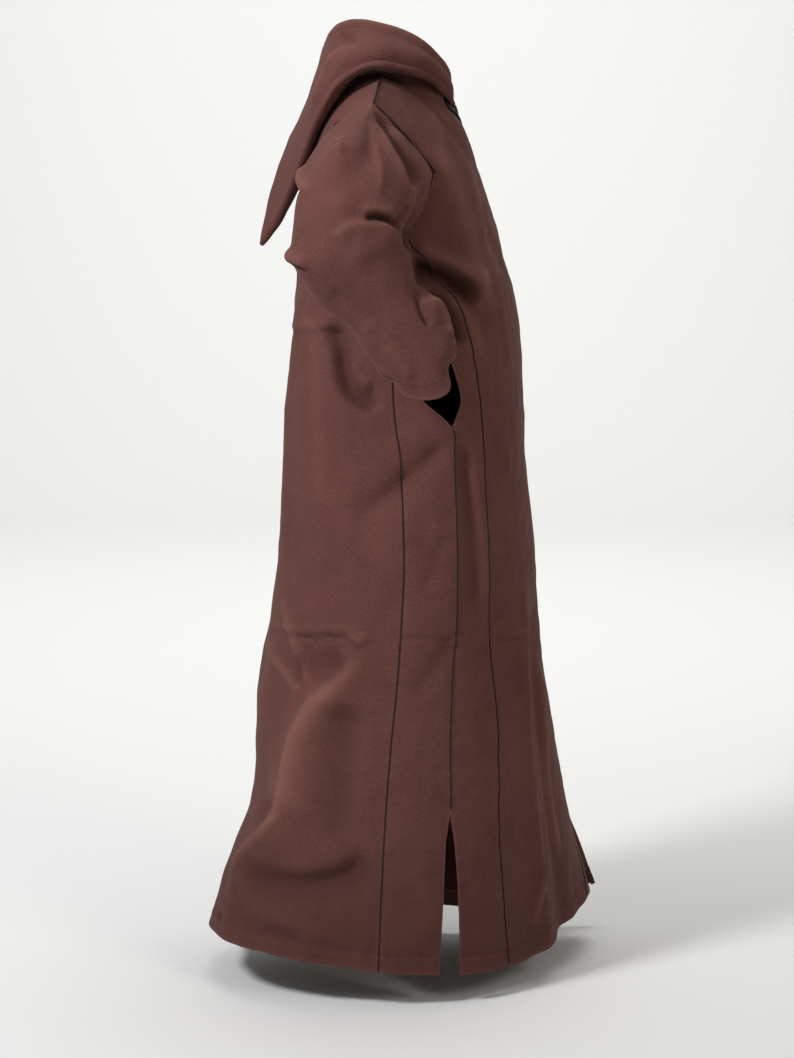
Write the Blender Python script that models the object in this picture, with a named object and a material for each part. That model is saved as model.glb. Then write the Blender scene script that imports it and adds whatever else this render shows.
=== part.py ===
"""Hooded djellaba robe in brown wool crepe with dark piping, worn and hollow.

The robe hangs from a pair of shoulders in mid stride, both hands at the side pockets.
Metres, +Z up. The wearer faces -Y and the wearer's right is -X. The origin lies midway
between the shoulder points, where the shoulders carry the robe.
"""
import math
from collections import namedtuple

import bmesh
import bpy
import numpy as np
from mathutils import Vector
from mathutils.kdtree import KDTree

# ---------------------------------------------------------------- driving dimensions
CLOTH = 0.002            # thickness of the wool crepe, a single layer
GAP = 0.0003             # space left between two pieces at a seam
CORD = 0.0024            # diameter of the piping cord
BRAID_WIDTH = 0.009      # width of the braid along the neck slit
BRAID_THICK = 0.0016
BRAID_INSET = 0.0006     # from the slit's edge to the braid
BRAID_LIFT = 0.0009      # and from the cloth to its underside
BRAID_STEPS = 6

UNDERARM_Z = -0.229      # lowest point of the armhole
CHEST_Z = -0.132         # where the armhole reaches furthest forward; the yoke starts here
POCKET_TOP = -0.365
POCKET_FOOT = -0.545
POCKET_OPEN = 0.066      # widest gape of the right pocket slit
LEFT_POCKET_OPEN = 0.002
POCKET_FRONT_SHARE = 0.3 # part of that gape taken by the slit's front edge
SLIT_TOP = -1.170
HEM_Z = -1.440           # hem at the right-hand side slit
SLIT_OPEN = 0.037        # gape of the hem slit at the hem
FLAP_FLARE = 0.052       # how far the left slit's back edge swings out at the hem
FLARE_START = 3          # the larger, the sooner below the slit's top it has swung out
TUCK = 0.00015           # half of GAP, taken off each panel at a seam

CORD_LIFT = 0.0005       # from the cloth to the cord
CORD_ASIDE = 0.7         # the armhole cord lies this many diameters inside the edge
CORD_START = 0.25        # share of a face by which a cord stops short of the shoulder point
PANEL_COLUMNS = 22       # strips of faces across the front or the back
SHOULDER_COLUMNS = 6     # of which this many run into each shoulder seam
GORE_COLUMNS = 3
YOKE_ROWS = 5
CUFF_RINGS = 13          # rings of faces from the armhole to the cuff
SKIN_STEPS = 5           # places searched along and across each cell of the body
RING_POINTS = 1441       # points of the dense outline that the seams are laid out on
NORMAL_STEP = 0.004      # arc either side over which a ring's outward direction is taken
FOLD_FALL = 1.7          # a fold has fallen to 6 in 100 of its height at its width

# Rings around the body, one row per level: reach to the front and back, half width on
# the right and left, how far the front has swung to the left with the stride, and the Y
# of each right-hand seam. From the underarm up, front_seam and back_seam are the
# armhole's two edges.
Level = namedtuple("Level", "z front back right left stride front_seam side_seam back_seam")
LEVELS = [
    Level(-0.132, -0.140, 0.150, 0.190, 0.190, 0.000, -0.060, 0.040, 0.136),
    Level(-0.160, -0.149, 0.155, 0.192, 0.192, 0.000, -0.053, 0.030, 0.132),
    Level(-0.190, -0.158, 0.158, 0.194, 0.194, 0.000, -0.041, 0.020, 0.112),
    Level(-0.210, -0.164, 0.160, 0.195, 0.195, 0.000, -0.031, 0.010, 0.080),
    Level(-0.222, -0.168, 0.161, 0.196, 0.196, 0.000, -0.023, 0.000, 0.046),
    Level(-0.229, -0.170, 0.162, 0.196, 0.196, 0.000, -0.0135, -0.0120, -0.0105),
    Level(-0.280, -0.182, 0.168, 0.198, 0.198, 0.000, -0.058, -0.030, 0.004),
    Level(-0.340, -0.197, 0.172, 0.200, 0.200, 0.000, -0.098, -0.053, 0.008),
    Level(-0.410, -0.207, 0.178, 0.202, 0.202, 0.000, -0.121, -0.072, 0.008),
    Level(-0.510, -0.213, 0.189, 0.207, 0.207, 0.000, -0.138, -0.088, 0.006),
    Level(-0.600, -0.219, 0.195, 0.213, 0.213, 0.000, -0.144, -0.095, -0.006),
    Level(-0.770, -0.237, 0.201, 0.222, 0.218, 0.015, -0.152, -0.099, -0.011),
    Level(-0.860, -0.243, 0.216, 0.228, 0.218, 0.030, -0.153, -0.099, -0.007),
    Level(-0.960, -0.252, 0.236, 0.233, 0.215, 0.055, -0.160, -0.091, 0.000),
    Level(-1.060, -0.270, 0.243, 0.238, 0.210, 0.085, -0.169, -0.088, 0.010),
    Level(-1.180, -0.292, 0.250, 0.242, 0.205, 0.110, -0.170, -0.088, 0.019),
    Level(-1.310, -0.318, 0.292, 0.245, 0.200, 0.130, -0.178, -0.090, 0.026),
    Level(-1.440, -0.347, 0.327, 0.245, 0.195, 0.150, -0.191, -0.090, 0.031),
]

# Height of the hem against HEM_Z, from the back (-1) past the side (0) to the front (1).
HemPlace = namedtuple("HemPlace", "share lift")
HEM_LINE = [
    HemPlace(-1.00, 0.024),
    HemPlace(-0.75, 0.022),
    HemPlace(-0.40, 0.010),
    HemPlace(-0.10, 0.000),
    HemPlace(0.22, -0.009),
    HemPlace(0.52, -0.014),
    HemPlace(0.75, -0.001),
    HemPlace(0.87, 0.016),
    HemPlace(1.00, 0.034),
]

# The left side seam leaves its twin on the right and swings forward with the left leg.
SwungSeam = namedtuple("SwungSeam", "z side_seam")
LEFT_SEAM = [
    SwungSeam(-0.600, -0.095),
    SwungSeam(-0.770, -0.112),
    SwungSeam(-0.960, -0.165),
    SwungSeam(-1.180, -0.245),
    SwungSeam(-1.440, -0.330),
]

# Rows of faces down the skirt, from the underarm to the hem.
SKIRT_ROWS = [UNDERARM_Z, -0.250, -0.280, -0.315, POCKET_TOP, -0.405, -0.450, -0.500,
              POCKET_FOOT, -0.590, -0.640, -0.690, -0.740, -0.790, -0.840, -0.890, -0.940,
              -0.990, -1.040, -1.090, SLIT_TOP, -1.220, -1.275, -1.330, -1.385, HEM_Z]
ARMHOLE_ROWS = [UNDERARM_Z, -0.222, -0.210, -0.190, -0.160, CHEST_Z]

# Seam lines of the yoke, right-hand half. The shoulder seam runs from the tip to the neck.
SHOULDER_TIP = (-0.208, 0.038, -0.024)
NECK_POINT = (-0.092, 0.022, 0.034)
FRONT_NECK = (-0.016, -0.095, -0.023)
SLIT_FOOT = (0.000, -0.106, -0.057)
BACK_NECK = (0.000, 0.078, 0.030)
SHOULDER_ARCH = 0.006    # rise of the shoulder seam over a straight line

# Superellipse exponent of a ring's front and back halves: 2 is an ellipse, more is squarer.
FRONT_ROUND = 2.15
BACK_ROUND = 2.40

# Sleeve rings after the armhole: centre, half width front to back, half width outer side
# to inner side, tilt of the ring's back end, droop, the turn of its outer side, and lean,
# the share of wide by which that side also stands forward.
Ring = namedtuple("Ring", "x y z deep wide tilt droop lean")
SLEEVE = [
    Ring(-0.240, 0.054, -0.150, 0.100, 0.085, 2, 26, 0.00),
    Ring(-0.266, 0.064, -0.178, 0.095, 0.077, 3, 50, 0.00),
    Ring(-0.284, 0.072, -0.212, 0.092, 0.070, 6, 70, 0.00),
    Ring(-0.293, 0.074, -0.248, 0.091, 0.064, 12, 88, 0.00),
    Ring(-0.297, 0.066, -0.279, 0.083, 0.060, 22, 100, 0.00),
    Ring(-0.299, 0.044, -0.308, 0.075, 0.057, 30, 108, 0.00),
    Ring(-0.301, 0.0235, -0.340, 0.0620, 0.057, 30, 116, 0.05),
    Ring(-0.303, -0.011, -0.380, 0.0690, 0.061, 23, 126, 0.15),
    Ring(-0.304, -0.035, -0.435, 0.066, 0.067, 9, 138, 0.30),
]
SLEEVE_CLEAR = 0.006     # least space between the sleeve and the body of the robe
ARMHOLE_LIFT = 0.0005    # step of the sleeve's first ring out from the armhole's edge

# Hood, right-hand half, from its front end to the centre back: the lower fold of the
# hanging bag, the rim of the face opening, and how far the outer side swells.
HoodRow = namedtuple("HoodRow", "along fold_x fold_y fold_z rim_x rim_y rim_z swell")
HOOD = [
    HoodRow(0.00, -0.040, -0.094, -0.022, -0.026, -0.097, 0.000, 0.002),
    HoodRow(0.12, -0.072, -0.080, -0.002, -0.054, -0.090, 0.036, 0.004),
    HoodRow(0.25, -0.110, -0.052, 0.020, -0.084, -0.062, 0.070, 0.008),
    HoodRow(0.38, -0.148, -0.014, 0.034, -0.104, -0.030, 0.093, 0.012),
    HoodRow(0.52, -0.164, 0.034, 0.037, -0.110, 0.020, 0.110, 0.016),
    HoodRow(0.65, -0.150, 0.090, 0.010, -0.098, 0.066, 0.119, 0.013),
    HoodRow(0.76, -0.120, 0.130, -0.056, -0.070, 0.096, 0.114, 0.011),
    HoodRow(0.86, -0.078, 0.160, -0.130, -0.040, 0.109, 0.107, 0.011),
    HoodRow(0.94, -0.034, 0.194, -0.205, -0.018, 0.115, 0.103, 0.009),
    HoodRow(1.00, 0.000, 0.225, -0.252, 0.000, 0.117, 0.101, 0.011),
]
HOOD_CLEAR = 0.004       # least space between the hood and the shoulders of the robe
OUTER_CLEAR = 0.011      # and between the hood's outer side and the shoulders
HOOD_PART = 0.0002       # half of the space between the hood's two halves
NECK_HOLLOW = (0.000, 0.020, -0.050)
NECK_STEP = 0.0008       # from the neck edge out to the hood's first row
NECK_RISE = 0.0006       # and up
LINING_ROWS = 5          # rows of faces from the neck seam down to the fold
TURN_ROWS = 4            # round the fold
OUTER_ROWS = 6           # and from the fold up to the rim
FOLD_TURN = 0.006        # radius at which the cloth turns up at the fold
SWELL_REACH = 0.68       # share of the outer side, from the fold up, that swells

# Largest folds, each along a line across the cloth: positive height is a ridge and
# negative a trough. Width is the distance at which it has nearly died away.
Fold = namedtuple("Fold", "x1 y1 z1 x2 y2 z2 width height")
BODY_FOLDS = [
    # front of the stride: a ridge over the right thigh, a deep valley, the left shin
    Fold(-0.105, -0.215, -0.860, -0.103, -0.270, -1.440, 0.044, 0.014),
    Fold(-0.045, -0.235, -0.900, -0.030, -0.300, -1.440, 0.046, -0.010),
    Fold(0.115, -0.275, -1.120, 0.112, -0.305, -1.320, 0.050, -0.008),
    # under each arm towards the belly
    Fold(-0.195, -0.020, -0.285, -0.150, -0.140, -0.330, 0.034, -0.006),
    Fold(0.195, -0.030, -0.290, 0.140, -0.150, -0.350, 0.034, -0.006),
    # beside the side seams, where the pockets pull
    Fold(-0.195, -0.112, -0.560, -0.190, -0.127, -0.850, 0.024, -0.006),
    Fold(0.195, -0.118, -0.560, 0.190, -0.150, -0.820, 0.024, -0.006),
    # slanting drags on the back gores
    Fold(-0.205, -0.070, -0.575, -0.215, 0.060, -0.700, 0.026, -0.007),
    Fold(-0.225, -0.060, -0.720, -0.225, 0.010, -0.850, 0.026, -0.005),
    Fold(0.205, -0.060, -0.590, 0.210, 0.080, -0.730, 0.028, -0.007),
    # the back of the right leg: kink behind the knee, long ridge, troughs at the calf
    Fold(-0.030, 0.225, -0.905, -0.150, 0.180, -0.990, 0.030, -0.010),
    Fold(-0.215, 0.070, -0.900, -0.130, 0.225, -1.230, 0.040, 0.008),
    Fold(-0.020, 0.290, -1.290, -0.190, 0.150, -1.315, 0.028, -0.008),
    Fold(-0.030, 0.300, -1.370, -0.190, 0.150, -1.410, 0.026, -0.006),
    # back of the robe, hanging from the shoulder blades
    Fold(0.075, 0.160, -0.330, 0.085, 0.215, -1.150, 0.045, 0.010),
    Fold(0.010, 0.175, -0.420, 0.010, 0.290, -1.440, 0.050, -0.014),
    Fold(-0.080, 0.165, -0.350, -0.075, 0.190, -0.850, 0.040, 0.007),
    # left side, slack behind the forward leg
    Fold(0.190, 0.060, -0.700, 0.150, 0.170, -1.440, 0.055, -0.030),
    Fold(0.210, 0.000, -0.760, 0.200, 0.020, -1.440, 0.050, 0.012),
    Fold(0.210, -0.100, -0.850, 0.205, -0.110, -1.440, 0.045, -0.016),
    # breast: soft drags from the shoulders to the front
    Fold(-0.150, -0.060, -0.110, -0.070, -0.170, -0.280, 0.030, -0.005),
    Fold(0.150, -0.060, -0.110, 0.070, -0.170, -0.300, 0.030, -0.005),
    Fold(0.000, -0.190, -0.320, 0.010, -0.215, -0.560, 0.050, 0.004),
]
SLEEVE_FOLDS = [
    # ridge and valley falling from the shoulder
    Fold(-0.240, 0.035, -0.050, -0.290, -0.010, -0.190, 0.034, 0.006),
    Fold(-0.225, 0.010, -0.070, -0.250, -0.025, -0.170, 0.030, -0.007),
    # bend of the elbow: crease inside, ridge below it, slack at the point
    Fold(-0.345, 0.045, -0.205, -0.290, -0.010, -0.222, 0.034, -0.011),
    Fold(-0.350, 0.050, -0.250, -0.290, -0.020, -0.266, 0.030, 0.005),
    Fold(-0.290, 0.165, -0.262, -0.345, 0.120, -0.262, 0.034, 0.007),
    # forearm
    Fold(-0.290, -0.045, -0.318, -0.340, -0.020, -0.345, 0.032, 0.005),
    Fold(-0.340, 0.070, -0.330, -0.355, 0.000, -0.385, 0.034, -0.004),
]

# Colours in linear light: cloth panel, sleeve, hood, piping cord and neck braid.
CREPE = (0.106, 0.045, 0.038)
CREPE_LIGHT = (0.122, 0.053, 0.047)
CREPE_HOOD = (0.150, 0.070, 0.062)
CORD_BLACK = (0.012, 0.009, 0.009)
BRAID_BLACK = (0.009, 0.008, 0.009)


# ---------------------------------------------------------------- small helpers
def column(table, name):
    return np.array([getattr(row, name) for row in table], dtype=float)


def follow(places, values, at):
    """Smooth curve through values at rising places, with no overshoot between rows."""
    places = np.asarray(places, dtype=float)
    values = np.asarray(values, dtype=float)
    step = np.diff(places)
    rise = np.diff(values) / step
    slope = np.zeros(len(values))
    slope[0] = rise[0]
    slope[-1] = rise[-1]
    for i in range(1, len(values) - 1):
        if rise[i - 1] * rise[i] > 0:
            slope[i] = 2 * rise[i - 1] * rise[i] / (rise[i - 1] + rise[i])
    at = np.clip(at, places[0], places[-1])
    cell = np.clip(np.searchsorted(places, at) - 1, 0, len(step) - 1)
    t = (at - places[cell]) / step[cell]
    start = (1 + 2 * t) * (1 - t) ** 2 * values[cell] + t * (1 - t) ** 2 * step[cell] * slope[cell]
    end = t * t * (3 - 2 * t) * values[cell + 1] - t * t * (1 - t) * step[cell] * slope[cell + 1]
    return start + end


def at_level(name, z):
    """A column of LEVELS read at height z."""
    return follow(-column(LEVELS, "z"), column(LEVELS, name), -z)


def unit(vectors):
    vectors = np.asarray(vectors, dtype=float)
    length = np.linalg.norm(vectors, axis=-1, keepdims=True)
    return vectors / np.maximum(length, 1e-12)


def fold_height(points, folds):
    """Sum of the folds at each point, from its distance to each fold's line."""
    total = np.zeros(points.shape[:-1])
    for fold in folds:
        start = np.array((fold.x1, fold.y1, fold.z1))
        run = np.array((fold.x2, fold.y2, fold.z2)) - start
        along = np.clip(((points - start) @ run) / (run @ run), 0.0, 1.0)
        away = np.linalg.norm(points - start - along[..., None] * run, axis=-1)
        total += fold.height * np.exp(-(FOLD_FALL * away / fold.width) ** 2)
    return total


def grid_normals(grid):
    """Unit normals of a grid of points: rows run down, columns run to the wearer's left."""
    down = np.gradient(grid, axis=0)
    across = np.gradient(grid, axis=1)
    return unit(np.cross(down, across))


# ---------------------------------------------------------------- body of the robe
def ring(z):
    """Dense closed outline of the robe at height z, from the right side round the front."""
    turn = np.linspace(0.0, 2 * math.pi, RING_POINTS)
    middle = 0.5 * (at_level("front", z) + at_level("back", z))
    half = 0.5 * (at_level("back", z) - at_level("front", z))
    front_half = np.sin(turn) >= 0
    power = 2.0 / np.where(front_half, FRONT_ROUND, BACK_ROUND)
    wide = np.where(np.cos(turn) >= 0, at_level("right", z), at_level("left", z))
    forward = np.sign(np.sin(turn)) * np.abs(np.sin(turn)) ** power
    x = -wide * np.sign(np.cos(turn)) * np.abs(np.cos(turn)) ** power
    x = x + at_level("stride", z) * np.maximum(forward, 0.0) ** 2
    y = middle - half * forward
    return x, y


def arc_lengths(x, y):
    return np.concatenate(([0.0], np.cumsum(np.hypot(np.diff(x), np.diff(y)))))


def seam_places(z):
    """Arc length from the ring's start to each seam, right side first, going by the front."""
    x, y = ring(z)
    run = arc_lengths(x, y)
    quarter = len(x) // 4

    def on_right(seam_y):
        if seam_y <= y[0]:
            return float(np.interp(-seam_y, -y[:quarter + 1], run[:quarter + 1]))
        return float(np.interp(-seam_y, -y[3 * quarter:], run[3 * quarter:])) - run[-1]

    def on_left(seam_y):
        part = slice(quarter, 3 * quarter + 1)
        return float(np.interp(seam_y, y[part], run[part]))

    front = on_right(float(at_level("front_seam", z)))
    side = on_right(float(at_level("side_seam", z)))
    back = on_right(float(at_level("back_seam", z)))
    if z > UNDERARM_Z + 1e-6:
        left_front = on_left(float(at_level("front_seam", z)))
        left_back = on_left(float(at_level("back_seam", z)))
        left_side = 0.5 * (left_front + left_back)
    else:
        swung = follow(-column(LEFT_SEAM, "z"), column(LEFT_SEAM, "side_seam"), -z)
        left_y = swung if z < LEFT_SEAM[0].z else at_level("side_seam", z)
        left_side = on_left(float(left_y))
        left_front = left_side - (front - side)
        left_back = left_side + (side - back)
    return {"back_right": back, "side_right": side, "front_right": front,
            "front_left": left_front, "side_left": left_side, "back_left": left_back,
            "back_right_again": back + run[-1]}


def on_ring(z, places):
    """Points of the robe's outer face at arc lengths round the ring, folds included."""
    x, y = ring(z)
    run = arc_lengths(x, y)
    wrapped = np.mod(places, run[-1])
    points = np.stack([np.interp(wrapped, run, x), np.interp(wrapped, run, y),
                       np.full(len(wrapped), z)], axis=-1)
    middle = 0.5 * (at_level("front", z) + at_level("back", z))
    half = 0.5 * (at_level("back", z) - at_level("front", z))
    share = (middle - points[:, 1]) / half
    fall = np.clip((SLIT_TOP + 0.25 - z) / (SLIT_TOP + 0.25 - HEM_Z), 0.0, 1.0)
    points[:, 2] += fall * follow(column(HEM_LINE, "share"), column(HEM_LINE, "lift"), share)
    ahead = np.stack([np.interp(np.mod(wrapped + NORMAL_STEP, run[-1]), run, x),
                      np.interp(np.mod(wrapped + NORMAL_STEP, run[-1]), run, y)], axis=-1)
    behind = np.stack([np.interp(np.mod(wrapped - NORMAL_STEP, run[-1]), run, x),
                       np.interp(np.mod(wrapped - NORMAL_STEP, run[-1]), run, y)], axis=-1)
    along = unit(ahead - behind)
    outward = np.stack([along[:, 1], -along[:, 0], np.zeros(len(along))], axis=-1)
    return points + outward * fold_height(points, BODY_FOLDS)[:, None]


def gape(z, edge, side):
    """How far an edge of the side seam stands off the seam line at height z.

    The edge is the front or back one of the slits on the right or left side.
    """
    if POCKET_FOOT < z < POCKET_TOP:
        drop = (POCKET_TOP - z) / (POCKET_TOP - POCKET_FOOT)
        whole = POCKET_OPEN if side == "right" else LEFT_POCKET_OPEN
        share = POCKET_FRONT_SHARE if edge == "front" else 1 - POCKET_FRONT_SHARE
        return whole * share * math.sin(math.pi * drop ** 1.8)
    if z < SLIT_TOP:
        return 0.5 * SLIT_OPEN * ((SLIT_TOP - z) / (SLIT_TOP - HEM_Z)) ** 0.5
    return 0.0


def strip(rows, start, end, columns, opening=None):
    """Grid of points between two seams on the given levels.

    opening names the strip's edge that lies on the side seam, as (end, edge, side).
    """
    grid = []
    for z in rows:
        places = seam_places(z)
        first = places[start] + TUCK
        last = places[end] - TUCK
        if opening:
            which, edge, side = opening
            if which == "first":
                first += gape(z, edge, side)
            else:
                last -= gape(z, edge, side)
        grid.append(on_ring(z, np.linspace(first, last, columns + 1)))
    return np.array(grid)


def flare(grid):
    """Swing the left slit's back edge forward and out towards the hem."""
    for row, z in zip(grid, SKIRT_ROWS):
        drop = min(1.0, max(0.0, (SLIT_TOP - z) / (SLIT_TOP - HEM_Z)))
        swing = 1 - (1 - drop) ** FLARE_START
        for c in range(GORE_COLUMNS + 1):
            near_edge = (1 - c / GORE_COLUMNS) ** 1.5
            row[c] += swing * near_edge * FLAP_FLARE * np.array((0.65, -0.95, 0.0))
    return grid


def top_edge(neck_line):
    """Top edge of the front or the back: shoulder seam, neckline, shoulder seam."""
    tip = np.array(SHOULDER_TIP)
    neck = np.array(NECK_POINT)
    half = []
    for i in range(SHOULDER_COLUMNS):
        share = i / SHOULDER_COLUMNS
        arch = np.array((0.0, 0.0, SHOULDER_ARCH * math.sin(math.pi * share)))
        half.append(tip + share * (neck - tip) + arch)
    half.extend(neck_line)
    half = np.array(half)
    other = half[-2::-1] * np.array((-1.0, 1.0, 1.0))
    return np.concatenate([half, other])


def front_neckline():
    """Right-hand half of the front neckline, down to the foot of the neck slit."""
    neck = np.array(NECK_POINT)
    front = np.array(FRONT_NECK)
    steps = PANEL_COLUMNS // 2 - SHOULDER_COLUMNS - 1
    line = []
    for i in range(steps + 1):
        turn = 0.5 * math.pi * i / steps
        line.append((front[0] + (neck[0] - front[0]) * math.cos(turn),
                     neck[1] + (front[1] - neck[1]) * math.sin(turn),
                     neck[2] + (front[2] - neck[2]) * (1 - math.cos(turn))))
    line.append(SLIT_FOOT)
    return line


def back_neckline():
    """Right-hand half of the back neckline."""
    neck = np.array(NECK_POINT)
    back = np.array(BACK_NECK)
    steps = PANEL_COLUMNS // 2 - SHOULDER_COLUMNS
    line = []
    for i in range(steps + 1):
        turn = 0.5 * math.pi * i / steps
        line.append((neck[0] * math.cos(turn),
                     neck[1] + (back[1] - neck[1]) * math.sin(turn),
                     neck[2] + (back[2] - neck[2]) * (1 - math.cos(turn))))
    return line


def yoke(chest_row, edge, middle_roll, shoulder_roll, edge_roll):
    """Grid from the chest row up to the top edge, rolling over the shoulder.

    A roll of 0 is a straight run; 1 climbs upright first and then turns over.
    """
    width = len(chest_row) - 1
    sideways = np.abs(np.linspace(-1.0, 1.0, width + 1))
    roll = middle_roll + (edge_roll - middle_roll) * sideways ** 3
    roll = roll + shoulder_roll * np.sin(math.pi * sideways)
    rows = []
    for i in range(YOKE_ROWS + 1):
        share = i / YOKE_ROWS
        rise = share + roll * (math.sin(0.5 * math.pi * share) - share)
        turn = share + roll * (1 - math.cos(0.5 * math.pi * share) - share)
        row = np.empty_like(chest_row)
        row[:, 0] = chest_row[:, 0] + share * (edge[:, 0] - chest_row[:, 0])
        row[:, 1] = chest_row[:, 1] + turn * (edge[:, 1] - chest_row[:, 1])
        row[:, 2] = chest_row[:, 2] + rise * (edge[:, 2] - chest_row[:, 2])
        rows.append(row)
    return np.array(rows)


def panel_grids():
    """Outer faces of the front and the back, from the shoulder seam down to the hem."""
    low = SKIRT_ROWS
    high = ARMHOLE_ROWS[1:][::-1]
    front = strip(high + low, "front_right", "front_left", PANEL_COLUMNS)
    back = strip(high + low, "back_left", "back_right_again", PANEL_COLUMNS)
    back = back[:, ::-1]
    front_yoke = yoke(front[0], top_edge(front_neckline()), 0.0, 0.45, 0.12)[:0:-1]
    back_yoke = yoke(back[0], top_edge(back_neckline()), 0.80, 0.0, 0.90)[:0:-1]
    for grid, yoke_rows, way in ((front, front_yoke, -1.0), (back, back_yoke, 1.0)):
        yoke_rows[0, :, 1] += way * GAP
    front = np.concatenate([front_yoke, front])
    back = np.concatenate([back_yoke, back])
    return front, back


# ---------------------------------------------------------------- building meshes
def material(name, colour, roughness):
    made = bpy.data.materials.new(name)
    made.use_nodes = True
    shader = made.node_tree.nodes["Principled BSDF"]
    shader.inputs["Base Color"].default_value = (*colour, 1.0)
    shader.inputs["Roughness"].default_value = roughness
    shader.inputs["Metallic"].default_value = 0.0
    return made


def keep(name, points, faces, finish):
    """Make one object of the robe from its points and faces."""
    mesh = bpy.data.meshes.new(name)
    mesh.from_pydata([tuple(point) for point in points], [], faces)
    shape = bmesh.new()
    shape.from_mesh(mesh)
    bmesh.ops.recalc_face_normals(shape, faces=shape.faces)
    if shape.calc_volume(signed=True) < 0:
        bmesh.ops.reverse_faces(shape, faces=shape.faces)
    shape.to_mesh(mesh)
    shape.free()
    mesh.shade_smooth()
    mesh.materials.append(finish)
    made = bpy.data.objects.new(name, mesh)
    ROBE.objects.link(made)
    return made


def wall(name, outer, inner, finish, closed=False):
    """Closed cloth wall between two grids; a closed one runs right round, like a sleeve."""
    rows, columns = outer.shape[:2]
    points = np.concatenate([outer.reshape(-1, 3), inner.reshape(-1, 3)])
    shift = rows * columns
    wrap = columns if closed else columns - 1
    faces = []
    for r in range(rows - 1):
        for c in range(wrap):
            n = (c + 1) % columns
            quad = [r * columns + c, r * columns + n, (r + 1) * columns + n, (r + 1) * columns + c]
            fall = np.linalg.norm(points[quad[0]] - points[quad[2]])
            climb = np.linalg.norm(points[quad[1]] - points[quad[3]])
            if climb < fall:
                quad = quad[1:] + quad[:1]
            for face in (quad[:3], [quad[0], quad[2], quad[3]]):
                faces.append(face)
                faces.append([shift + i for i in reversed(face)])
    for c in range(wrap):
        n = (c + 1) % columns
        last = (rows - 1) * columns
        faces.append([c, shift + c, shift + n, n])
        faces.append([last + c, last + n, shift + last + n, shift + last + c])
    if not closed:
        for r in range(rows - 1):
            a, b = r * columns, (r + 1) * columns
            c, d = a + columns - 1, b + columns - 1
            faces.append([a, b, shift + b, shift + a])
            faces.append([c, shift + c, shift + d, d])
    return keep(name, points, faces, finish)


def piping(name, seam, outward, finish):
    """Cord laid along a seam, just proud of the cloth."""
    path = seam + outward * (0.5 * CORD + CORD_LIFT)
    curve = bpy.data.curves.new(name, "CURVE")
    curve.dimensions = "3D"
    curve.bevel_depth = 0.5 * CORD
    curve.bevel_resolution = 0
    curve.use_fill_caps = True
    spline = curve.splines.new("POLY")
    spline.points.add(len(path) - 1)
    for point, place in zip(spline.points, path):
        point.co = (*place, 1.0)
    curve.materials.append(finish)
    made = bpy.data.objects.new(name, curve)
    ROBE.objects.link(made)
    return made


# ---------------------------------------------------------------- the pieces
def make_body(finish):
    """Front, back and the four gores; returns their outer grids and outward directions."""
    front, back = panel_grids()
    grids = {"front_panel": (front, 1.0), "back_panel": (back, -1.0)}
    gores = {
        "front_gore_right": strip(SKIRT_ROWS, "side_right", "front_right", GORE_COLUMNS,
                                  ("first", "front", "right")),
        "back_gore_right": strip(SKIRT_ROWS, "back_right", "side_right", GORE_COLUMNS,
                                 ("last", "back", "right")),
        "front_gore_left": strip(SKIRT_ROWS, "front_left", "side_left", GORE_COLUMNS,
                                 ("last", "front", "left")),
        "back_gore_left": flare(strip(SKIRT_ROWS, "side_left", "back_left", GORE_COLUMNS,
                                      ("first", "back", "left"))),
    }
    for name, grid in gores.items():
        grids[name] = (grid, 1.0)
    made = {}
    for name, (grid, way) in grids.items():
        made[name] = [grid, way * grid_normals(grid)]
    share_seam_normals(made)
    for name, (grid, outward) in made.items():
        wall(name, grid, grid - CLOTH * outward, finish)
    return made


def share_seam_normals(made):
    """Give both sides of each seam the same outward direction, so that the walls meet."""
    start = len(made["front_panel"][0]) - len(SKIRT_ROWS)
    seams = (
        ("front_panel", 0, start, "front_gore_right", -1, 0),
        ("front_panel", -1, start, "front_gore_left", 0, 0),
        ("back_panel", 0, start, "back_gore_right", 0, 0),
        ("back_panel", -1, start, "back_gore_left", -1, 0),
        ("front_gore_right", 0, 0, "back_gore_right", -1, 0),
        ("front_gore_left", -1, 0, "back_gore_left", 0, 0),
    )
    for one, one_column, one_start, two, two_column, two_start in seams:
        for i in range(len(SKIRT_ROWS)):
            a = made[one][1][one_start + i, one_column]
            b = made[two][1][two_start + i, two_column]
            both = unit(a + b)
            made[one][1][one_start + i, one_column] = both
            made[two][1][two_start + i, two_column] = both
    shoulder = list(range(SHOULDER_COLUMNS + 1))
    for c in shoulder + [-1 - i for i in shoulder]:
        both = unit(made["front_panel"][1][0, c] + made["back_panel"][1][0, c])
        made["front_panel"][1][0, c] = both
        made["back_panel"][1][0, c] = both


def armhole(made):
    """Right-hand armhole: edge points, outward directions and directions into the hole.

    It starts at the underarm, climbs the front edge and comes down the back edge.
    """
    top = YOKE_ROWS + len(ARMHOLE_ROWS) - 1
    front, front_out = made["front_panel"]
    back, back_out = made["back_panel"]
    loop = [0.5 * (front[top, 0] + back[top, 0])]
    outward = [unit(front_out[top, 0] + back_out[top, 0])]
    inside = [np.array((0.0, 0.0, 1.0))]

    def edge(grid, normals, row):
        tangent = unit(grid[row - 1, 0] - grid[row + 1, 0])
        into = np.cross(normals[row, 0], tangent)
        into = into * np.sign(into @ (grid[row, 0] - grid[row, 1]))
        loop.append(grid[row, 0])
        outward.append(normals[row, 0])
        inside.append(unit(into))

    for row in range(top - 1, 0, -1):
        edge(front, front_out, row)
    loop.append(0.5 * (front[0, 0] + back[0, 0]))
    outward.append(unit(front_out[0, 0] + back_out[0, 0]))
    inside.append(unit(front[0, 0] - front[0, 1]))
    for row in range(1, top):
        edge(back, back_out, row)
    return np.array(loop), np.array(outward), np.array(inside)


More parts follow.
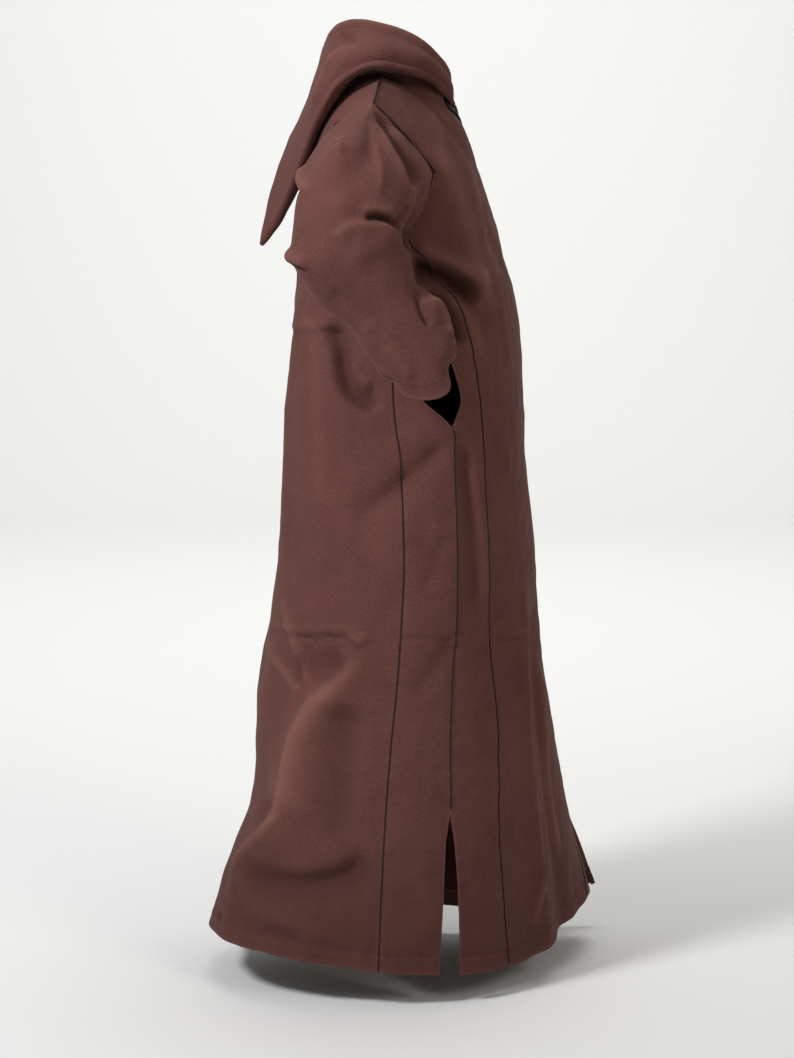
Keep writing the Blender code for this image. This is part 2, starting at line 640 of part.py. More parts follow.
def sleeve_rings(turns, start):
    """Grid of the sleeve from the first free ring to the cuff, a column for each turn."""
    places = np.arange(len(SLEEVE), dtype=float)
    grid = []
    for i in range(CUFF_RINGS):
        at = start + (len(SLEEVE) - 1 - start) * i / (CUFF_RINGS - 1)
        size = {name: float(follow(places, column(SLEEVE, name), at)) for name in Ring._fields}
        tilt = math.radians(size["tilt"])
        droop = math.radians(size["droop"])
        deep = np.array((0.0, math.cos(tilt), -math.sin(tilt)))
        wide = np.array((-math.sin(droop), -size["lean"], math.cos(droop)))
        centre = np.array((size["x"], size["y"], size["z"]))
        grid.append([centre + size["deep"] * math.cos(t) * deep + size["wide"] * math.sin(t) * wide
                     for t in turns])
    return np.array(grid)


def around_normals(grid):
    """Outward directions of a grid whose columns run right round."""
    down = np.gradient(grid, axis=0)
    across = np.roll(grid, -1, axis=1) - np.roll(grid, 1, axis=1)
    return unit(np.cross(across, down))


def keep_clear(grid, tree, skin, skin_out, distance):
    """Move points that come too near a skin out to the given distance from it."""
    moved = grid.copy()
    flat = moved.reshape(-1, 3)
    for i, point in enumerate(flat):
        near, index, _ = tree.find(Vector(point))
        height = (point - skin[index]) @ skin_out[index]
        if height < distance:
            flat[i] = point + skin_out[index] * (distance - height)
    return moved


def skin_tree(made):
    """Search tree over the outer faces of the body, made denser between its points."""
    skin = []
    skin_out = []
    shares = np.arange(SKIN_STEPS) / SKIN_STEPS
    for grid, outward in made.values():
        for values, store in ((grid, skin), (outward, skin_out)):
            for down in shares:
                upper = (1 - down) * values[:-1] + down * values[1:]
                for across in shares:
                    between = (1 - across) * upper[:, :-1] + across * upper[:, 1:]
                    store.append(between.reshape(-1, 3))
    skin = np.concatenate(skin)
    skin_out = unit(np.concatenate(skin_out))
    tree = KDTree(len(skin))
    for i, point in enumerate(skin):
        tree.insert(Vector(point), i)
    tree.balance()
    return tree, skin, skin_out


def make_sleeves(made, tree, skin, skin_out, finish):
    """Right sleeve from the armhole to the cuff, and its mirror image."""
    loop, loop_out, inside = armhole(made)
    centre = loop.mean(axis=0)
    turns = np.arctan2(loop[:, 2] - centre[2], loop[:, 1] - centre[1])
    rings = sleeve_rings(turns, 0.0)
    out = around_normals(rings)
    middle = rings.mean(axis=1, keepdims=True)
    if ((rings - middle) * out).sum() < 0:
        out = -out
    rings = rings + out * fold_height(rings, SLEEVE_FOLDS)[..., None]
    rings = keep_clear(rings, tree, skin, skin_out, SLEEVE_CLEAR)
    first_out = unit(loop_out + out[0])
    spread = GAP + CLOTH * np.maximum(0.0, (first_out * inside).sum(axis=1))
    first = loop + inside * spread[:, None] + loop_out * ARMHOLE_LIFT
    grid = np.concatenate([first[None], rings])
    out = np.concatenate([first_out[None], out])
    inner = grid - CLOTH * out
    mirror = np.array((-1.0, 1.0, 1.0))
    wall("sleeve_right", grid, inner, finish, closed=True)
    wall("sleeve_left", grid * mirror, inner * mirror, finish, closed=True)
    return grid, out


def hood_sections(seam, tree, skin, skin_out):
    """Right half of the hood: a row of points from neck seam to rim for each seam point."""
    count = len(seam)
    places = column(HOOD, "along")
    grid = []
    for i, start in enumerate(seam):
        at = i / (count - 1)
        size = {name: float(follow(places, column(HOOD, name), at)) for name in HoodRow._fields}
        fold = np.array((size["fold_x"], size["fold_y"], size["fold_z"]))
        rim = np.array((size["rim_x"], size["rim_y"], size["rim_z"]))
        outward = unit(np.array((fold[0], fold[1], 0.0)))
        near = tree.find(Vector(fold))[1]
        height = (fold - skin[near]) @ skin_out[near]
        fold = fold + skin_out[near] * max(0.0, HOOD_CLEAR - height)
        onward = unit(fold - start)
        up = unit(skin_out[near] - (skin_out[near] @ onward) * onward)
        turn_start = fold - FOLD_TURN * onward
        section = []
        for k in range(LINING_ROWS):
            section.append(start + (k / LINING_ROWS) ** 1.4 * (turn_start - start))
        for k in range(TURN_ROWS):
            angle = math.pi * k / TURN_ROWS
            section.append(turn_start + FOLD_TURN * (math.sin(angle) * onward
                                                     + (1 - math.cos(angle)) * up))
        outer_start = turn_start + 2 * FOLD_TURN * up
        for k in range(OUTER_ROWS + 1):
            share = k / OUTER_ROWS
            bulge = size["swell"] * math.sin(math.pi * min(1.0, share / SWELL_REACH))
            section.append(outer_start + share * (rim - outer_start) + bulge * outward)
        grid.append(section)
    return np.array(grid)


def make_hood(made, tree, skin, skin_out, finish):
    """Both halves of the hood, worn down: from the neck seam to the fold and up to the rim."""
    front, front_out = made["front_panel"]
    back, back_out = made["back_panel"]
    last = PANEL_COLUMNS // 2
    seam = [front[0, c] for c in range(last - 1, SHOULDER_COLUMNS, -1)]
    seam_out = [front_out[0, c] for c in range(last - 1, SHOULDER_COLUMNS, -1)]
    seam += [back[0, c] for c in range(SHOULDER_COLUMNS, last + 1)]
    seam_out += [back_out[0, c] for c in range(SHOULDER_COLUMNS, last + 1)]
    seam = np.array(seam) + np.array(seam_out) * NECK_STEP
    seam[:, 2] += NECK_RISE
    between = 0.5 * (seam[1:] + seam[:-1])
    seam = np.insert(seam, range(1, len(seam)), between, axis=0)
    grid = hood_sections(seam, tree, skin, skin_out)
    outer = LINING_ROWS + TURN_ROWS
    grid[:, 1:outer] = keep_clear(grid[:, 1:outer], tree, skin, skin_out, HOOD_CLEAR)
    grid[:, outer:] = keep_clear(grid[:, outer:], tree, skin, skin_out, OUTER_CLEAR)
    grid[:, :, 0] = np.minimum(grid[:, :, 0], -HOOD_PART)
    grid[-1, :, 0] = -HOOD_PART
    out = grid_normals(grid)
    outer_side = out[:, outer:]
    away = grid[:, outer:] - np.array(NECK_HOLLOW)
    if (outer_side * away).sum() < 0:
        out = -out
    out[-1, :, 0] = 0.0
    out[-1] = unit(out[-1])
    inner = grid - CLOTH * out
    inner[:, :, 0] = np.minimum(inner[:, :, 0], -HOOD_PART)
    mirror = np.array((-1.0, 1.0, 1.0))
    wall("hood_right", grid, inner, finish)
    wall("hood_left", grid * mirror, inner * mirror, finish)
    return grid


def make_braid(made, finish):
    """Braid along both edges of the neck slit, lying on the front panel."""
    front, front_out = made["front_panel"]
    middle = PANEL_COLUMNS // 2
    rows = []
    outward = []
    for k in range(BRAID_STEPS + 1):
        share = k / BRAID_STEPS
        edge = front[0, middle - 1] * (1 - share) + front[0, middle] * share
        below = front[1, middle - 1] * (1 - share) + front[1, middle] * share
        normal = unit(front_out[0, middle - 1] * (1 - share) + front_out[0, middle] * share)
        down = unit(below - edge)
        rows.append([edge + down * BRAID_INSET, edge + down * (BRAID_INSET + BRAID_WIDTH)])
        outward.append([normal, normal])
    rows = np.array(rows)
    rows[:, :, 0] = np.minimum(rows[:, :, 0], -GAP)
    outward = np.array(outward)
    outward[:, :, 0] = np.minimum(outward[:, :, 0], 0.0)
    under = rows + outward * BRAID_LIFT
    over = under + outward * BRAID_THICK
    mirror = np.array((-1.0, 1.0, 1.0))
    wall("neck_braid_right", over, under, finish)
    wall("neck_braid_left", over * mirror, under * mirror, finish)


def make_piping(made, finish):
    """Dark cords over the shoulder, armhole, front, side and back seams of each side."""
    start = len(made["front_panel"][0]) - len(SKIRT_ROWS)
    slit = SKIRT_ROWS.index(SLIT_TOP)
    pocket = SKIRT_ROWS.index(POCKET_FOOT)
    front, front_out = made["front_panel"]
    back, back_out = made["back_panel"]
    for side, c in (("right", 0), ("left", -1)):
        gore = made["back_gore_" + side]
        gore_column = -1 if side == "right" else 0
        inner = 1 if side == "right" else -2
        across = [k if side == "right" else -1 - k for k in range(SHOULDER_COLUMNS)]
        shoulder = front[0, across]
        shoulder[0] += CORD_START * (shoulder[1] - shoulder[0])
        piping("shoulder_piping_" + side, shoulder, front_out[0, across], finish)
        hole = slice(0, YOKE_ROWS + 1)
        aside = unit(front[hole, inner] - front[hole, c]) * CORD_ASIDE * CORD
        edge = front[hole, c] + aside
        edge[0] += CORD_START * (edge[1] - edge[0])
        piping("armhole_piping_" + side, edge, front_out[hole, c], finish)
        piping("front_piping_" + side, front[start + 2:, c], front_out[start + 2:, c], finish)
        piping("back_piping_" + side, back[start + 2:, c], back_out[start + 2:, c], finish)
        piping("side_piping_" + side, gore[0][pocket:slit + 1, gore_column],
               gore[1][pocket:slit + 1, gore_column], finish)


for old in list(bpy.data.objects):
    bpy.data.objects.remove(old, do_unlink=True)
ROBE = bpy.data.collections.new("djellaba")
bpy.context.scene.collection.children.link(ROBE)

crepe = material("brown wool crepe", CREPE, 0.92)
sleeve_crepe = material("brown wool crepe, sleeve", CREPE_LIGHT, 0.92)
hood_crepe = material("brown wool crepe, hood", CREPE_HOOD, 0.92)
cord_black = material("charcoal cord", CORD_BLACK, 0.8)
braid_black = material("black braid", BRAID_BLACK, 0.7)

panels = make_body(crepe)
panel_tree, panel_skin, panel_out = skin_tree(panels)
make_sleeves(panels, panel_tree, panel_skin, panel_out, sleeve_crepe)
make_hood(panels, panel_tree, panel_skin, panel_out, hood_crepe)
make_braid(panels, braid_black)
make_piping(panels, cord_black)
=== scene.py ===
"""A djellaba: a long hooded robe of dark brown wool crepe with charcoal cord in its seams, in its
worn shape and empty inside. X is across the shoulders, -Y is the front and Z is up, in metres."""

import math

import bmesh
import bpy
import numpy as np
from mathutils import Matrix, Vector


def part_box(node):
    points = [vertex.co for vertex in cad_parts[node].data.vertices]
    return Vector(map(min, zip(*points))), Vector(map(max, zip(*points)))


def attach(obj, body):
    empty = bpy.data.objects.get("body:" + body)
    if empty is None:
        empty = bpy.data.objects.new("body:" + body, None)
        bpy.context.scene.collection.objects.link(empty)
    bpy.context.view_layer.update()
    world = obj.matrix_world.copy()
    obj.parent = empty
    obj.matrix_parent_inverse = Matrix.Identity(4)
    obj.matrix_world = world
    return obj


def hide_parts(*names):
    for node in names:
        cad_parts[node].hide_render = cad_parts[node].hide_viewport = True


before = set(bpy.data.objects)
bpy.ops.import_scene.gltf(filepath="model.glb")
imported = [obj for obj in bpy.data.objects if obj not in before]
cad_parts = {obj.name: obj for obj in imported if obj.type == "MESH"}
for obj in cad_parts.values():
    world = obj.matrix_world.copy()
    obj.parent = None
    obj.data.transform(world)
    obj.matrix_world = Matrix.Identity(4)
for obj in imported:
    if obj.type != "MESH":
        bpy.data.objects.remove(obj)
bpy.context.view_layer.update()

# --- Body ------------------------------------------------------------------------------------
# Six widths of wool crepe: a front and a back from shoulder to hem, and four narrow gores from the
# armpit down, sewn edge to edge with charcoal cord in the long seams. Hem and slits turn under.

CLOTH = 0.002                # thickness of one layer
MERGE = 1e-5                 # points nearer than this are one
CORNER = math.radians(50)    # an edge that turns by more than this keeps its corner
RIDGE_FADE = 0.16            # share of a crease's length over which each end dies away


def unit(vectors):
    return vectors / np.maximum(np.linalg.norm(vectors, axis=-1, keepdims=True), 1e-12)


def lengths(line):
    """How far along a line of points each of them lies."""
    return np.concatenate([[0], np.cumsum(np.linalg.norm(np.diff(line, axis=0), axis=1))])


def bell(distance, reach):
    """1 on a line, dying away softly over reach."""
    return np.exp(-(distance / reach) ** 2)


def outer_face(node):
    """The outer face of a cloth wall: its points, its triangles and its border loops."""
    mesh = bmesh.new()
    mesh.from_mesh(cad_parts[node].data)
    bmesh.ops.remove_doubles(mesh, verts=mesh.verts, dist=MERGE)
    mesh.normal_update()
    rim = [f for f in mesh.faces if any(abs(e.calc_length() - CLOTH) < MERGE for e in f.edges)]
    bmesh.ops.delete(mesh, geom=rim, context="FACES")
    middle = Vector(np.mean([v.co[:] for v in mesh.verts], axis=0))
    if "sleeve" not in node and "hood" not in node:
        middle.x = middle.y = 0
    best, best_sum, seen = None, -1e9, set()
    for start in mesh.faces:
        if start in seen:
            continue
        seen.add(start)
        part, queue = [start], [start]
        while queue:
            for edge in queue.pop().edges:
                for near in edge.link_faces:
                    if near not in seen:
                        seen.add(near)
                        part.append(near)
                        queue.append(near)
        total = sum(f.calc_area() * f.normal.dot(f.calc_center_median() - middle) for f in part)
        if total > best_sum:
            best, best_sum = part, total
    numbers, points, faces = {}, [], []
    for face in best:
        for vert in face.verts:
            if vert not in numbers:
                numbers[vert] = len(points)
                points.append(vert.co[:])
        faces.append([numbers[v] for v in face.verts])
    mesh.free()
    return np.array(points), faces


def border_loops(faces):
    """The open edges of a face set, joined end to end."""
    sides = {}
    for a, b, c in faces:
        for edge in ((a, b), (b, c), (c, a)):
            sides[edge] = True
    after = {a: b for a, b in sides if (b, a) not in sides}
    loops = []
    while after:
        loop = [next(iter(after))]
        while loop[-1] in after:
            loop.append(after.pop(loop[-1]))
        loops.append(loop[:-1])
    return loops


def next_row(row, first, third, closed):
    """Walks the strip of triangles below a row of points and returns the row under it."""
    count = len(row)
    below = [first]
    used = set()
    for j in range(count if closed else count - 1):
        here, beyond, under = row[j], row[(j + 1) % count], below[-1]
        corner = None
        for other, face in third.get((min(here, under), max(here, under)), ()):
            if face in used or corner is not None:
                continue
            pair = (beyond, under) if other == beyond else (here, other)
            for last, mate in third[(min(pair), max(pair))]:
                if mate != face and mate not in used and (other == beyond or last == beyond):
                    corner = last if other == beyond else other
                    used |= {face, mate}
                    break
        if corner is None or corner in row:
            return None
        below.append(corner)
    if closed and below.pop() != first:
        return None
    return below


def cloth_grid(node, rows, columns, closed=False):
    """The outer face as rows and columns of points, from the top or the armhole down, and whether
    the faces of the grid have to be turned to look outwards."""
    points, faces = outer_face(node)
    third = {}
    for number, (a, b, c) in enumerate(faces):
        for i, j, k in ((a, b, c), (b, c, a), (c, a, b)):
            third.setdefault((min(i, j), max(i, j)), []).append((k, number))
    loops = border_loops(faces)
    found = None
    if closed:
        ring = max(loops, key=lambda loop: points[loop][:, 2].mean())
        start = min(range(len(ring)), key=lambda i: points[ring[i]][2])
        row = ring[start:] + ring[:start]
        found = [row]
        for _ in range(rows - 1):
            choices = []
            near = {k for (a, b), ends in third.items() if row[0] in (a, b) for k in (a, b)}
            for first in near - set(row):
                below = next_row(row, first, third, True)
                if below is not None and not (len(found) > 1 and first in found[-2]):
                    reach = np.linalg.norm(points[below] - points[row], axis=1).sum()
                    choices.append((reach, below))
            row = min(choices)[1]
            found.append(row)
    else:
        loop = loops[0]
        size = len(loop)
        for turned in (loop, loop[::-1]):
            for start in range(size):
                ring = turned[start:] + turned[:start]
                row = ring[:columns]
                grid = [row]
                while row is not None and len(grid) < rows:
                    row = next_row(row, ring[-len(grid)], third, False)
                    if row is None or row[-1] != ring[columns - 1 + len(grid)]:
                        break
                    grid.append(row)
                if len(grid) == rows:
                    found = grid
                    break
            if found:
                break
    grid = points[np.array(found)]
    if not closed and grid[0, :, 2].mean() < grid[-1, :, 2].mean():
        grid = grid[::-1]
        found = found[::-1]
    number = np.array(found)
    cells = {}
    for i in range(rows - 1):
        for j in range(columns - (0 if closed else 1)):
            k = (j + 1) % columns
            cells[frozenset((number[i, j], number[i, k], number[i + 1, j]))] = (i, j, k)
            cells[frozenset((number[i, j], number[i, k], number[i + 1, k]))] = (i, j, k)
    for face in faces:
        if frozenset(face) in cells:
            i, j, k = cells[frozenset(face)]
            a, b, c = (points[n] for n in face)
            out = np.cross(b - a, c - a)
            mine = np.cross(grid[i + 1, j] - grid[i, j], grid[i, k] - grid[i, j])
            return grid, bool(np.dot(out, mine) < 0)
    raise ValueError(node)


def spline(line, places, wanted, closed=False):
    """Points at wanted places on smooth curves through line (first axis), with corners kept."""
    if closed:
        span = places[-1]
        gaps = np.diff(places)
        line = np.concatenate([line[-2:], line, line[:3]])
        places = np.concatenate([[-gaps[-1] - gaps[-2], -gaps[-1]], places[:-1],
                                 [span, span + gaps[0], span + gaps[0] + gaps[1]]])
    step = np.diff(places)
    shape = (-1,) + (1,) * (line.ndim - 1)
    slope = np.diff(line, axis=0) / step.reshape(shape)
    before = np.concatenate([slope[:1], slope])
    ahead = np.concatenate([slope, slope[-1:]])
    weight = np.concatenate([[0.5], step[1:] / (step[:-1] + step[1:]), [0.5]]).reshape(shape)
    tangent = before * weight + ahead * (1 - weight)
    cosine = (before * ahead).sum(-1) / (np.linalg.norm(before, axis=-1)
                                         * np.linalg.norm(ahead, axis=-1) + 1e-12)
    sharp = (cosine < math.cos(CORNER))[..., None]
    leave = np.where(sharp, ahead, tangent)
    reach = np.where(sharp, before, tangent)
    cell = np.clip(np.searchsorted(places, wanted, side="right") - 1, 0, len(step) - 1)
    t = ((wanted - places[cell]) / step[cell]).reshape(shape)
    h = step[cell].reshape(shape)
    return (line[cell] * (1 + 2 * t) * (1 - t) ** 2 + leave[cell] * h * t * (1 - t) ** 2
            + line[cell + 1] * t * t * (3 - 2 * t) + reach[cell + 1] * h * t * t * (t - 1))


def finer(grid, rows, columns, closed=False):
    """The grid on a finer mesh of even rows and columns."""
    down = np.linalg.norm(np.diff(grid, axis=0), axis=2).mean(axis=1)
    places = np.concatenate([[0], np.cumsum(down)])
    tall = spline(grid, places, split_evenly(places, rows))
    wide = np.swapaxes(tall, 0, 1)
    ring = np.concatenate([wide, wide[:1]]) if closed else wide
    side = np.linalg.norm(np.diff(ring, axis=0), axis=2).mean(axis=1)
    places = np.concatenate([[0], np.cumsum(side)])
    wide = spline(wide, places, split_evenly(places, columns)[:-1 if closed else None], closed)
    return np.swapaxes(wide, 0, 1)


def split_evenly(places, count):
    """count steps shared out between the given places in proportion, so that each is kept."""
    gaps = np.diff(places)
    ends = np.round(np.cumsum(gaps) / places[-1] * count).astype(int)
    ends = np.maximum(ends, np.arange(1, len(gaps) + 1))
    starts = np.concatenate([[0], ends[:-1]])
    out = [places[0]]
    for first, last, low, high in zip(starts, ends, places[:-1], places[1:]):
        out.extend(low + (high - low) * np.arange(1, last - first + 1) / (last - first))
    return np.array(out)


def outward(grid, turned, closed=False):
    """Unit normals of a grid, away from the wearer."""
    across = (np.roll(grid, -1, axis=1) - np.roll(grid, 1, axis=1)) if closed \
        else np.gradient(grid, axis=1)
    normals = unit(np.cross(np.gradient(grid, axis=0), across))
    return -normals if turned else normals


def creased(grid, creases):
    """How far soft ridges (+) and troughs (-) lift each point of a grid along its normal. Each is
    (height, half width, points along it, lean). With lean above 0 it falls away gently above or
    ahead of its line and steeply on the other side."""
    lift = np.zeros(grid.shape[:2])
    for height, width, line, *lean in creases:
        line = np.array(line, dtype=float)
        long = lengths(line)
        dense = spline(line, long, np.linspace(0, long[-1], 8 * len(line)))
        near = np.linalg.norm(grid - dense.mean(axis=0), axis=2) < long[-1] * 0.6 + 4 * width
        here = grid[near]
        apart = np.full(len(here), 9.0)
        along, side = np.zeros(len(here)), np.zeros(len(here))
        for number in range(len(dense) - 1):
            a, b = dense[number], dense[number + 1]
            t = np.clip(((here - a) @ (b - a)) / ((b - a) @ (b - a)), 0, 1)
            off = here - a - t[:, None] * (b - a)
            d = np.linalg.norm(off, axis=1)
            closer = d < apart
            way = (off[:, 1] * (b - a)[2] - off[:, 2] * (b - a)[1]) / np.linalg.norm(b - a)
            side = np.where(closer, way, side)
            apart = np.where(closer, d, apart)
            along = np.where(closer, (number + t) / (len(dense) - 1), along)
        ends = np.clip(np.minimum(along, 1 - along) / RIDGE_FADE, 0, 1)
        ends = ends * ends * (3 - 2 * ends)
        spread = width * (1 + (lean[0] if lean else 0) * np.tanh(side / width))
        lift[near] += height * bell(apart, spread) * ends
    return lift


def mirrored(creases, mirror):
    """The creases as they are, or for mirror -1 across the middle of the robe."""
    return [(height, width, [(x * mirror, y, z) for x, y, z in line], *lean)
            for height, width, line, *lean in creases]


def nudged(grid, nudges, mirror):
    """Draws the cloth softly aside round a few places: (place, reach, move)."""
    for place, reach, move in nudges:
        place, move = (np.array(each) * (mirror, 1, 1) for each in (place, move))
        away = np.linalg.norm(grid - place, axis=2, keepdims=True)
        grid = grid + move * bell(away, reach)
    return grid


def waves(a, b, size, seed):
    """Slow uneven swell of slack cloth between -1 and 1, over lengths of about size."""
    mix = np.random.default_rng(seed)
    total = np.zeros(a.shape)
    for _ in range(9):
        angle, phase = mix.uniform(0, 2 * math.pi, 2)
        pace = 2 * math.pi / (size * mix.uniform(0.7, 1.8))
        total += np.sin(pace * (a * math.cos(angle) + b * math.sin(angle)) + phase
                        + 1.3 * np.sin(pace * 0.37 * (a - b) + 2 * phase))
    return total / 5


def cut_lengths(grid, closed=False):
    """Each point's place on the flat cloth: across from the left edge and down from the top."""
    ring = np.concatenate([grid, grid[:, :1]], axis=1) if closed else grid
    across = np.cumsum(np.linalg.norm(np.diff(ring, axis=1), axis=2), axis=1)
    across = np.concatenate([np.zeros((len(grid), 1)), across], axis=1)
    down = np.cumsum(np.linalg.norm(np.diff(ring, axis=0), axis=2), axis=0)
    down = np.concatenate([np.zeros((1, ring.shape[1])), down])
    return across, down


TURN_UP_DEPTH = 0.0042       # from the outer face to the inner face of cloth folded under
TURN_ANGLES = np.radians((36, 72, 108, 144, 180))        # steps of the half turn at a fold
ALLOWANCE = 0.0045           # cloth that passes under its neighbour at a seam
TUCK_OUT, TUCK_DOWN, UNDER = 0.0007, 0.0016, 0.0031      # how it steps out, then down and under
OPEN_TURN, OPEN_UNDER = 0.0005, 0.0011         # and how much more it turns where a seam is open


def turn_up(grid, normals, rows):
    """Folds the cloth under at its last row and lays it up inside, over a number of rows."""
    edge, out = grid[-1], normals[-1]
    down = unit(grid[-1] - grid[-3])
    half = TURN_UP_DEPTH / 2
    bend = [edge - out * half * (1 - math.cos(angle)) + down * half * math.sin(angle)
            for angle in TURN_ANGLES]
    inside = [grid[-1 - k] - normals[-1 - k] * TURN_UP_DEPTH for k in range(1, rows + 1)]
    return (np.concatenate([grid, bend, inside]),
            np.concatenate([normals, [out] * len(TURN_ANGLES), normals[-2:-2 - rows:-1]]))


def seam_allowance(edge, inner, out, reach=ALLOWANCE, opened=0.0):
    """The two lines of points at which an edge passes under its neighbour, or, where the seam is
    left open, folds back under itself."""
    away = unit(edge - inner)
    reach, opened = (np.broadcast_to(value, len(edge))[:, None] for value in (reach, opened))
    return (edge + away * (TUCK_OUT - OPEN_TURN * opened) - out * (TUCK_DOWN + OPEN_TURN * opened),
            edge + away * reach - out * (UNDER + OPEN_UNDER * opened))


def inset_line(grid, normals, distance, inset):
    """The points and normals of each column at one distance from the last row."""
    below = np.argmax(distance <= inset, axis=0)
    column = np.arange(grid.shape[1])
    high, low = distance[below - 1, column], distance[below, column]
    share = ((high - inset) / np.maximum(high - low, 1e-9))[:, None]
    return (grid[below - 1, column] * (1 - share) + grid[below, column] * share,
            normals[below, column])


def pick(made):
    """Puts a new object in the scene as the only one selected."""
    bpy.context.scene.collection.objects.link(made)
    bpy.ops.object.select_all(action="DESELECT")
    bpy.context.view_layer.objects.active = made
    made.select_set(True)


def make_cloth(name, grid, turned, closed=False):
    """A cloth piece on a grid: faces out, its place on the flat cloth as UVMap, a wall inwards."""
    rows, columns = grid.shape[:2]
    span = columns if closed else columns - 1
    across, down = cut_lengths(grid, closed)
    faces, places = [], []
    for i in range(rows - 1):
        for j in range(span):
            k = (j + 1) % columns
            face = [i * columns + j, (i + 1) * columns + j, (i + 1) * columns + k, i * columns + k]
            spot = [(i, j), (i + 1, j), (i + 1, j + 1), (i, j + 1)]
            if turned:
                face, spot = face[::-1], spot[::-1]
            faces.append(face)
            places.extend(spot)
    mesh = bpy.data.meshes.new(name)
    mesh.from_pydata(grid.reshape(-1, 3).tolist(), [], faces)
    spots = np.array(places)
    cut = np.stack([across[spots[:, 0], spots[:, 1]], -down[spots[:, 0], spots[:, 1]]], axis=1)
    mesh.uv_layers.new(name="UVMap").data.foreach_set("uv", cut.astype(np.float32).ravel())
    made = bpy.data.objects.new(name, mesh)
    pick(made)
    wall = made.modifiers.new("wall", "SOLIDIFY")
    wall.thickness = CLOTH
    wall.offset = -1
    bpy.ops.object.modifier_apply(modifier="wall")
    bpy.ops.object.shade_smooth_by_angle(angle=math.radians(60))
    return made


INSIDE_PAINTED_SHADE = 0.7            # painted shade: the inner face of the cloth is painted darker


def set_wear_and_painted_light(piece, rubbed_and_highlight, painted_shade, added):
    """How far each point is rubbed pale, as wear on edges and seams and as wear with a painted
    highlight on ridges, and how far it gets painted shade: in folds, towards the hem and over the
    whole inner face. added says how many rows and columns of turned-under cloth take the values
    of the edge beside them."""
    rubbed_and_highlight, painted_shade = (np.pad(values, added, mode="edge") for values in (rubbed_and_highlight, painted_shade))
    inside = np.full(painted_shade.size, INSIDE_PAINTED_SHADE)
    for name, outer, inner in (("rubbed_and_highlight", rubbed_and_highlight, inside * 0), ("painted_shade", painted_shade, inside)):
        values = np.concatenate([np.clip(outer, 0, 1).ravel(), inner]).astype(np.float32)
        piece.data.attributes.new(name, "FLOAT", "POINT").data.foreach_set("value", values)


